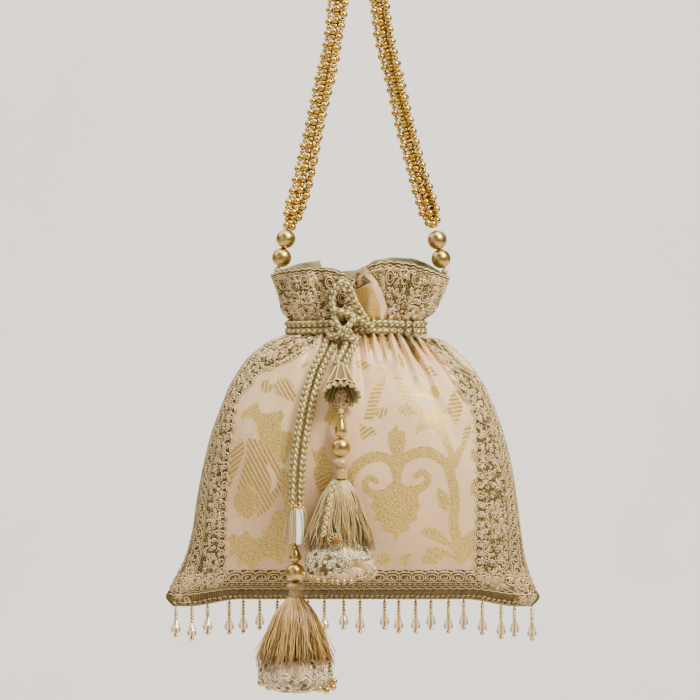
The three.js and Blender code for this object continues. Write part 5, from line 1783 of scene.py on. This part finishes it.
def fringeDrop(number, x, length):
    share = (x + 3.6) / 103.6
    rise = seamRise * (1 - float(ease(0.62, 0.92, abs(share))))
    y, top = float(leanAt(0)), seamZ + rise - 1.1
    body, label = f"drop_{number:02d}", f"{number:02d}"
    seeds = int(round(length / 1.75))
    places = [(x, y, top - (k + 0.5) * length / seeds) for k in range(seeds)]
    end = top - length - 9.3
    verts, faces, tone = gather(strew(seedBead, np.array(places), [(0, 0, 1)] * seeds, [1.18] * seeds),
                                strew(seedBead, np.array([(x, y, end)]), [(0, 0, 1)], [1.5]),
                                sweep([[(x, y, top + 1.0 - v) for v in np.linspace(0, length + 9.8, 5)]], 0.4,
                                      6))
    keep(f"dropString{label}", verts, faces, body, [paleGold])
    placedCopy(cutDrop, (x, y, top - length), (0, 0, 1), f"dropCrystal{label}", body, peachCrystal,
               [f"fringe_drop_{label}"], smooth=False)


for number, x in enumerate(dropPlaces):
    fringeDrop(number + 1, x, stringLengths[number % 5])
print("fringe hung")


# each free cord's piece and path, and for the long ones the cap they end in, looked up; nothing more is set
# on them here
for name, end, pieces in (("longCordLeft", "fitting", [longCap]), ("longCordRight", "fitting", [longCap]),
                          ("shortCordLeft", "object", []), ("shortCordRight", "object", [])):
    piece, path = cords[name]
    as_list(pieces)


# stage and light

def addLight(name, place, size, power, colour=(1, 1, 1), aim=(0, 0, -0.24)):
    bpy.ops.object.light_add(type="AREA", location=place)
    light = bpy.context.object
    light.name = name
    light.data.size = size
    light.data.energy = power
    light.data.color = colour
    light.rotation_euler = (Vector(aim) - Vector(place)).to_track_quat("-Z", "Y").to_euler()
    light.visible_camera = False


def paperSweep():
    # floor and wall in one sheet, with a rounded turn between them
    floor, wall, turn, half = viewing["floor"], viewing["wall"], 1.2, 14.0
    outline = [(-7.0, floor), (wall - turn, floor)]
    outline += [(wall - turn + turn * math.sin(a), floor + turn - turn * math.cos(a))
                for a in np.linspace(0, math.pi / 2, 13)[1:]]
    outline.append((wall, 6.0))
    verts = [(x, y, z) for y, z in outline for x in (-half, half)]
    faces = [[2 * k, 2 * k + 1, 2 * k + 3, 2 * k + 2] for k in range(len(outline) - 1)]
    mesh = bpy.data.meshes.new("paperSweep")
    mesh.from_pydata(verts, [], faces)
    mesh.materials.append(paperMaterial())
    mesh.polygons.foreach_set("use_smooth", [True] * len(faces))
    sweepPiece = bpy.data.objects.new("paperSweep", mesh)
    bpy.context.collection.objects.link(sweepPiece)


paperSweep()
addLight("keyLight", (0.84, -0.95, 0.90), 0.45, 52, (1.0, 0.93, 0.84))
addLight("fillLight", (-1.3, -1.2, 0.1), 1.2, 3.5, (1.0, 0.96, 0.90))
addLight("topLight", (0.1, -0.25, 1.1), 0.8, 15, (1.0, 0.95, 0.88))
addLight("rimLight", (-0.8, 0.1, 0.7), 1.0, 8)
addLight("wallWash", (0, 2.2, 2.4), 2.5, 260, aim=(0, 4.8, -0.2))
world = bpy.data.worlds.new("softRoom")
bpy.context.scene.world = world
world.use_nodes = True
world.node_tree.nodes["Background"].inputs[0].default_value = hexColour("#f2e6d6")
world.node_tree.nodes["Background"].inputs[1].default_value = 0.24
print("stage lit")
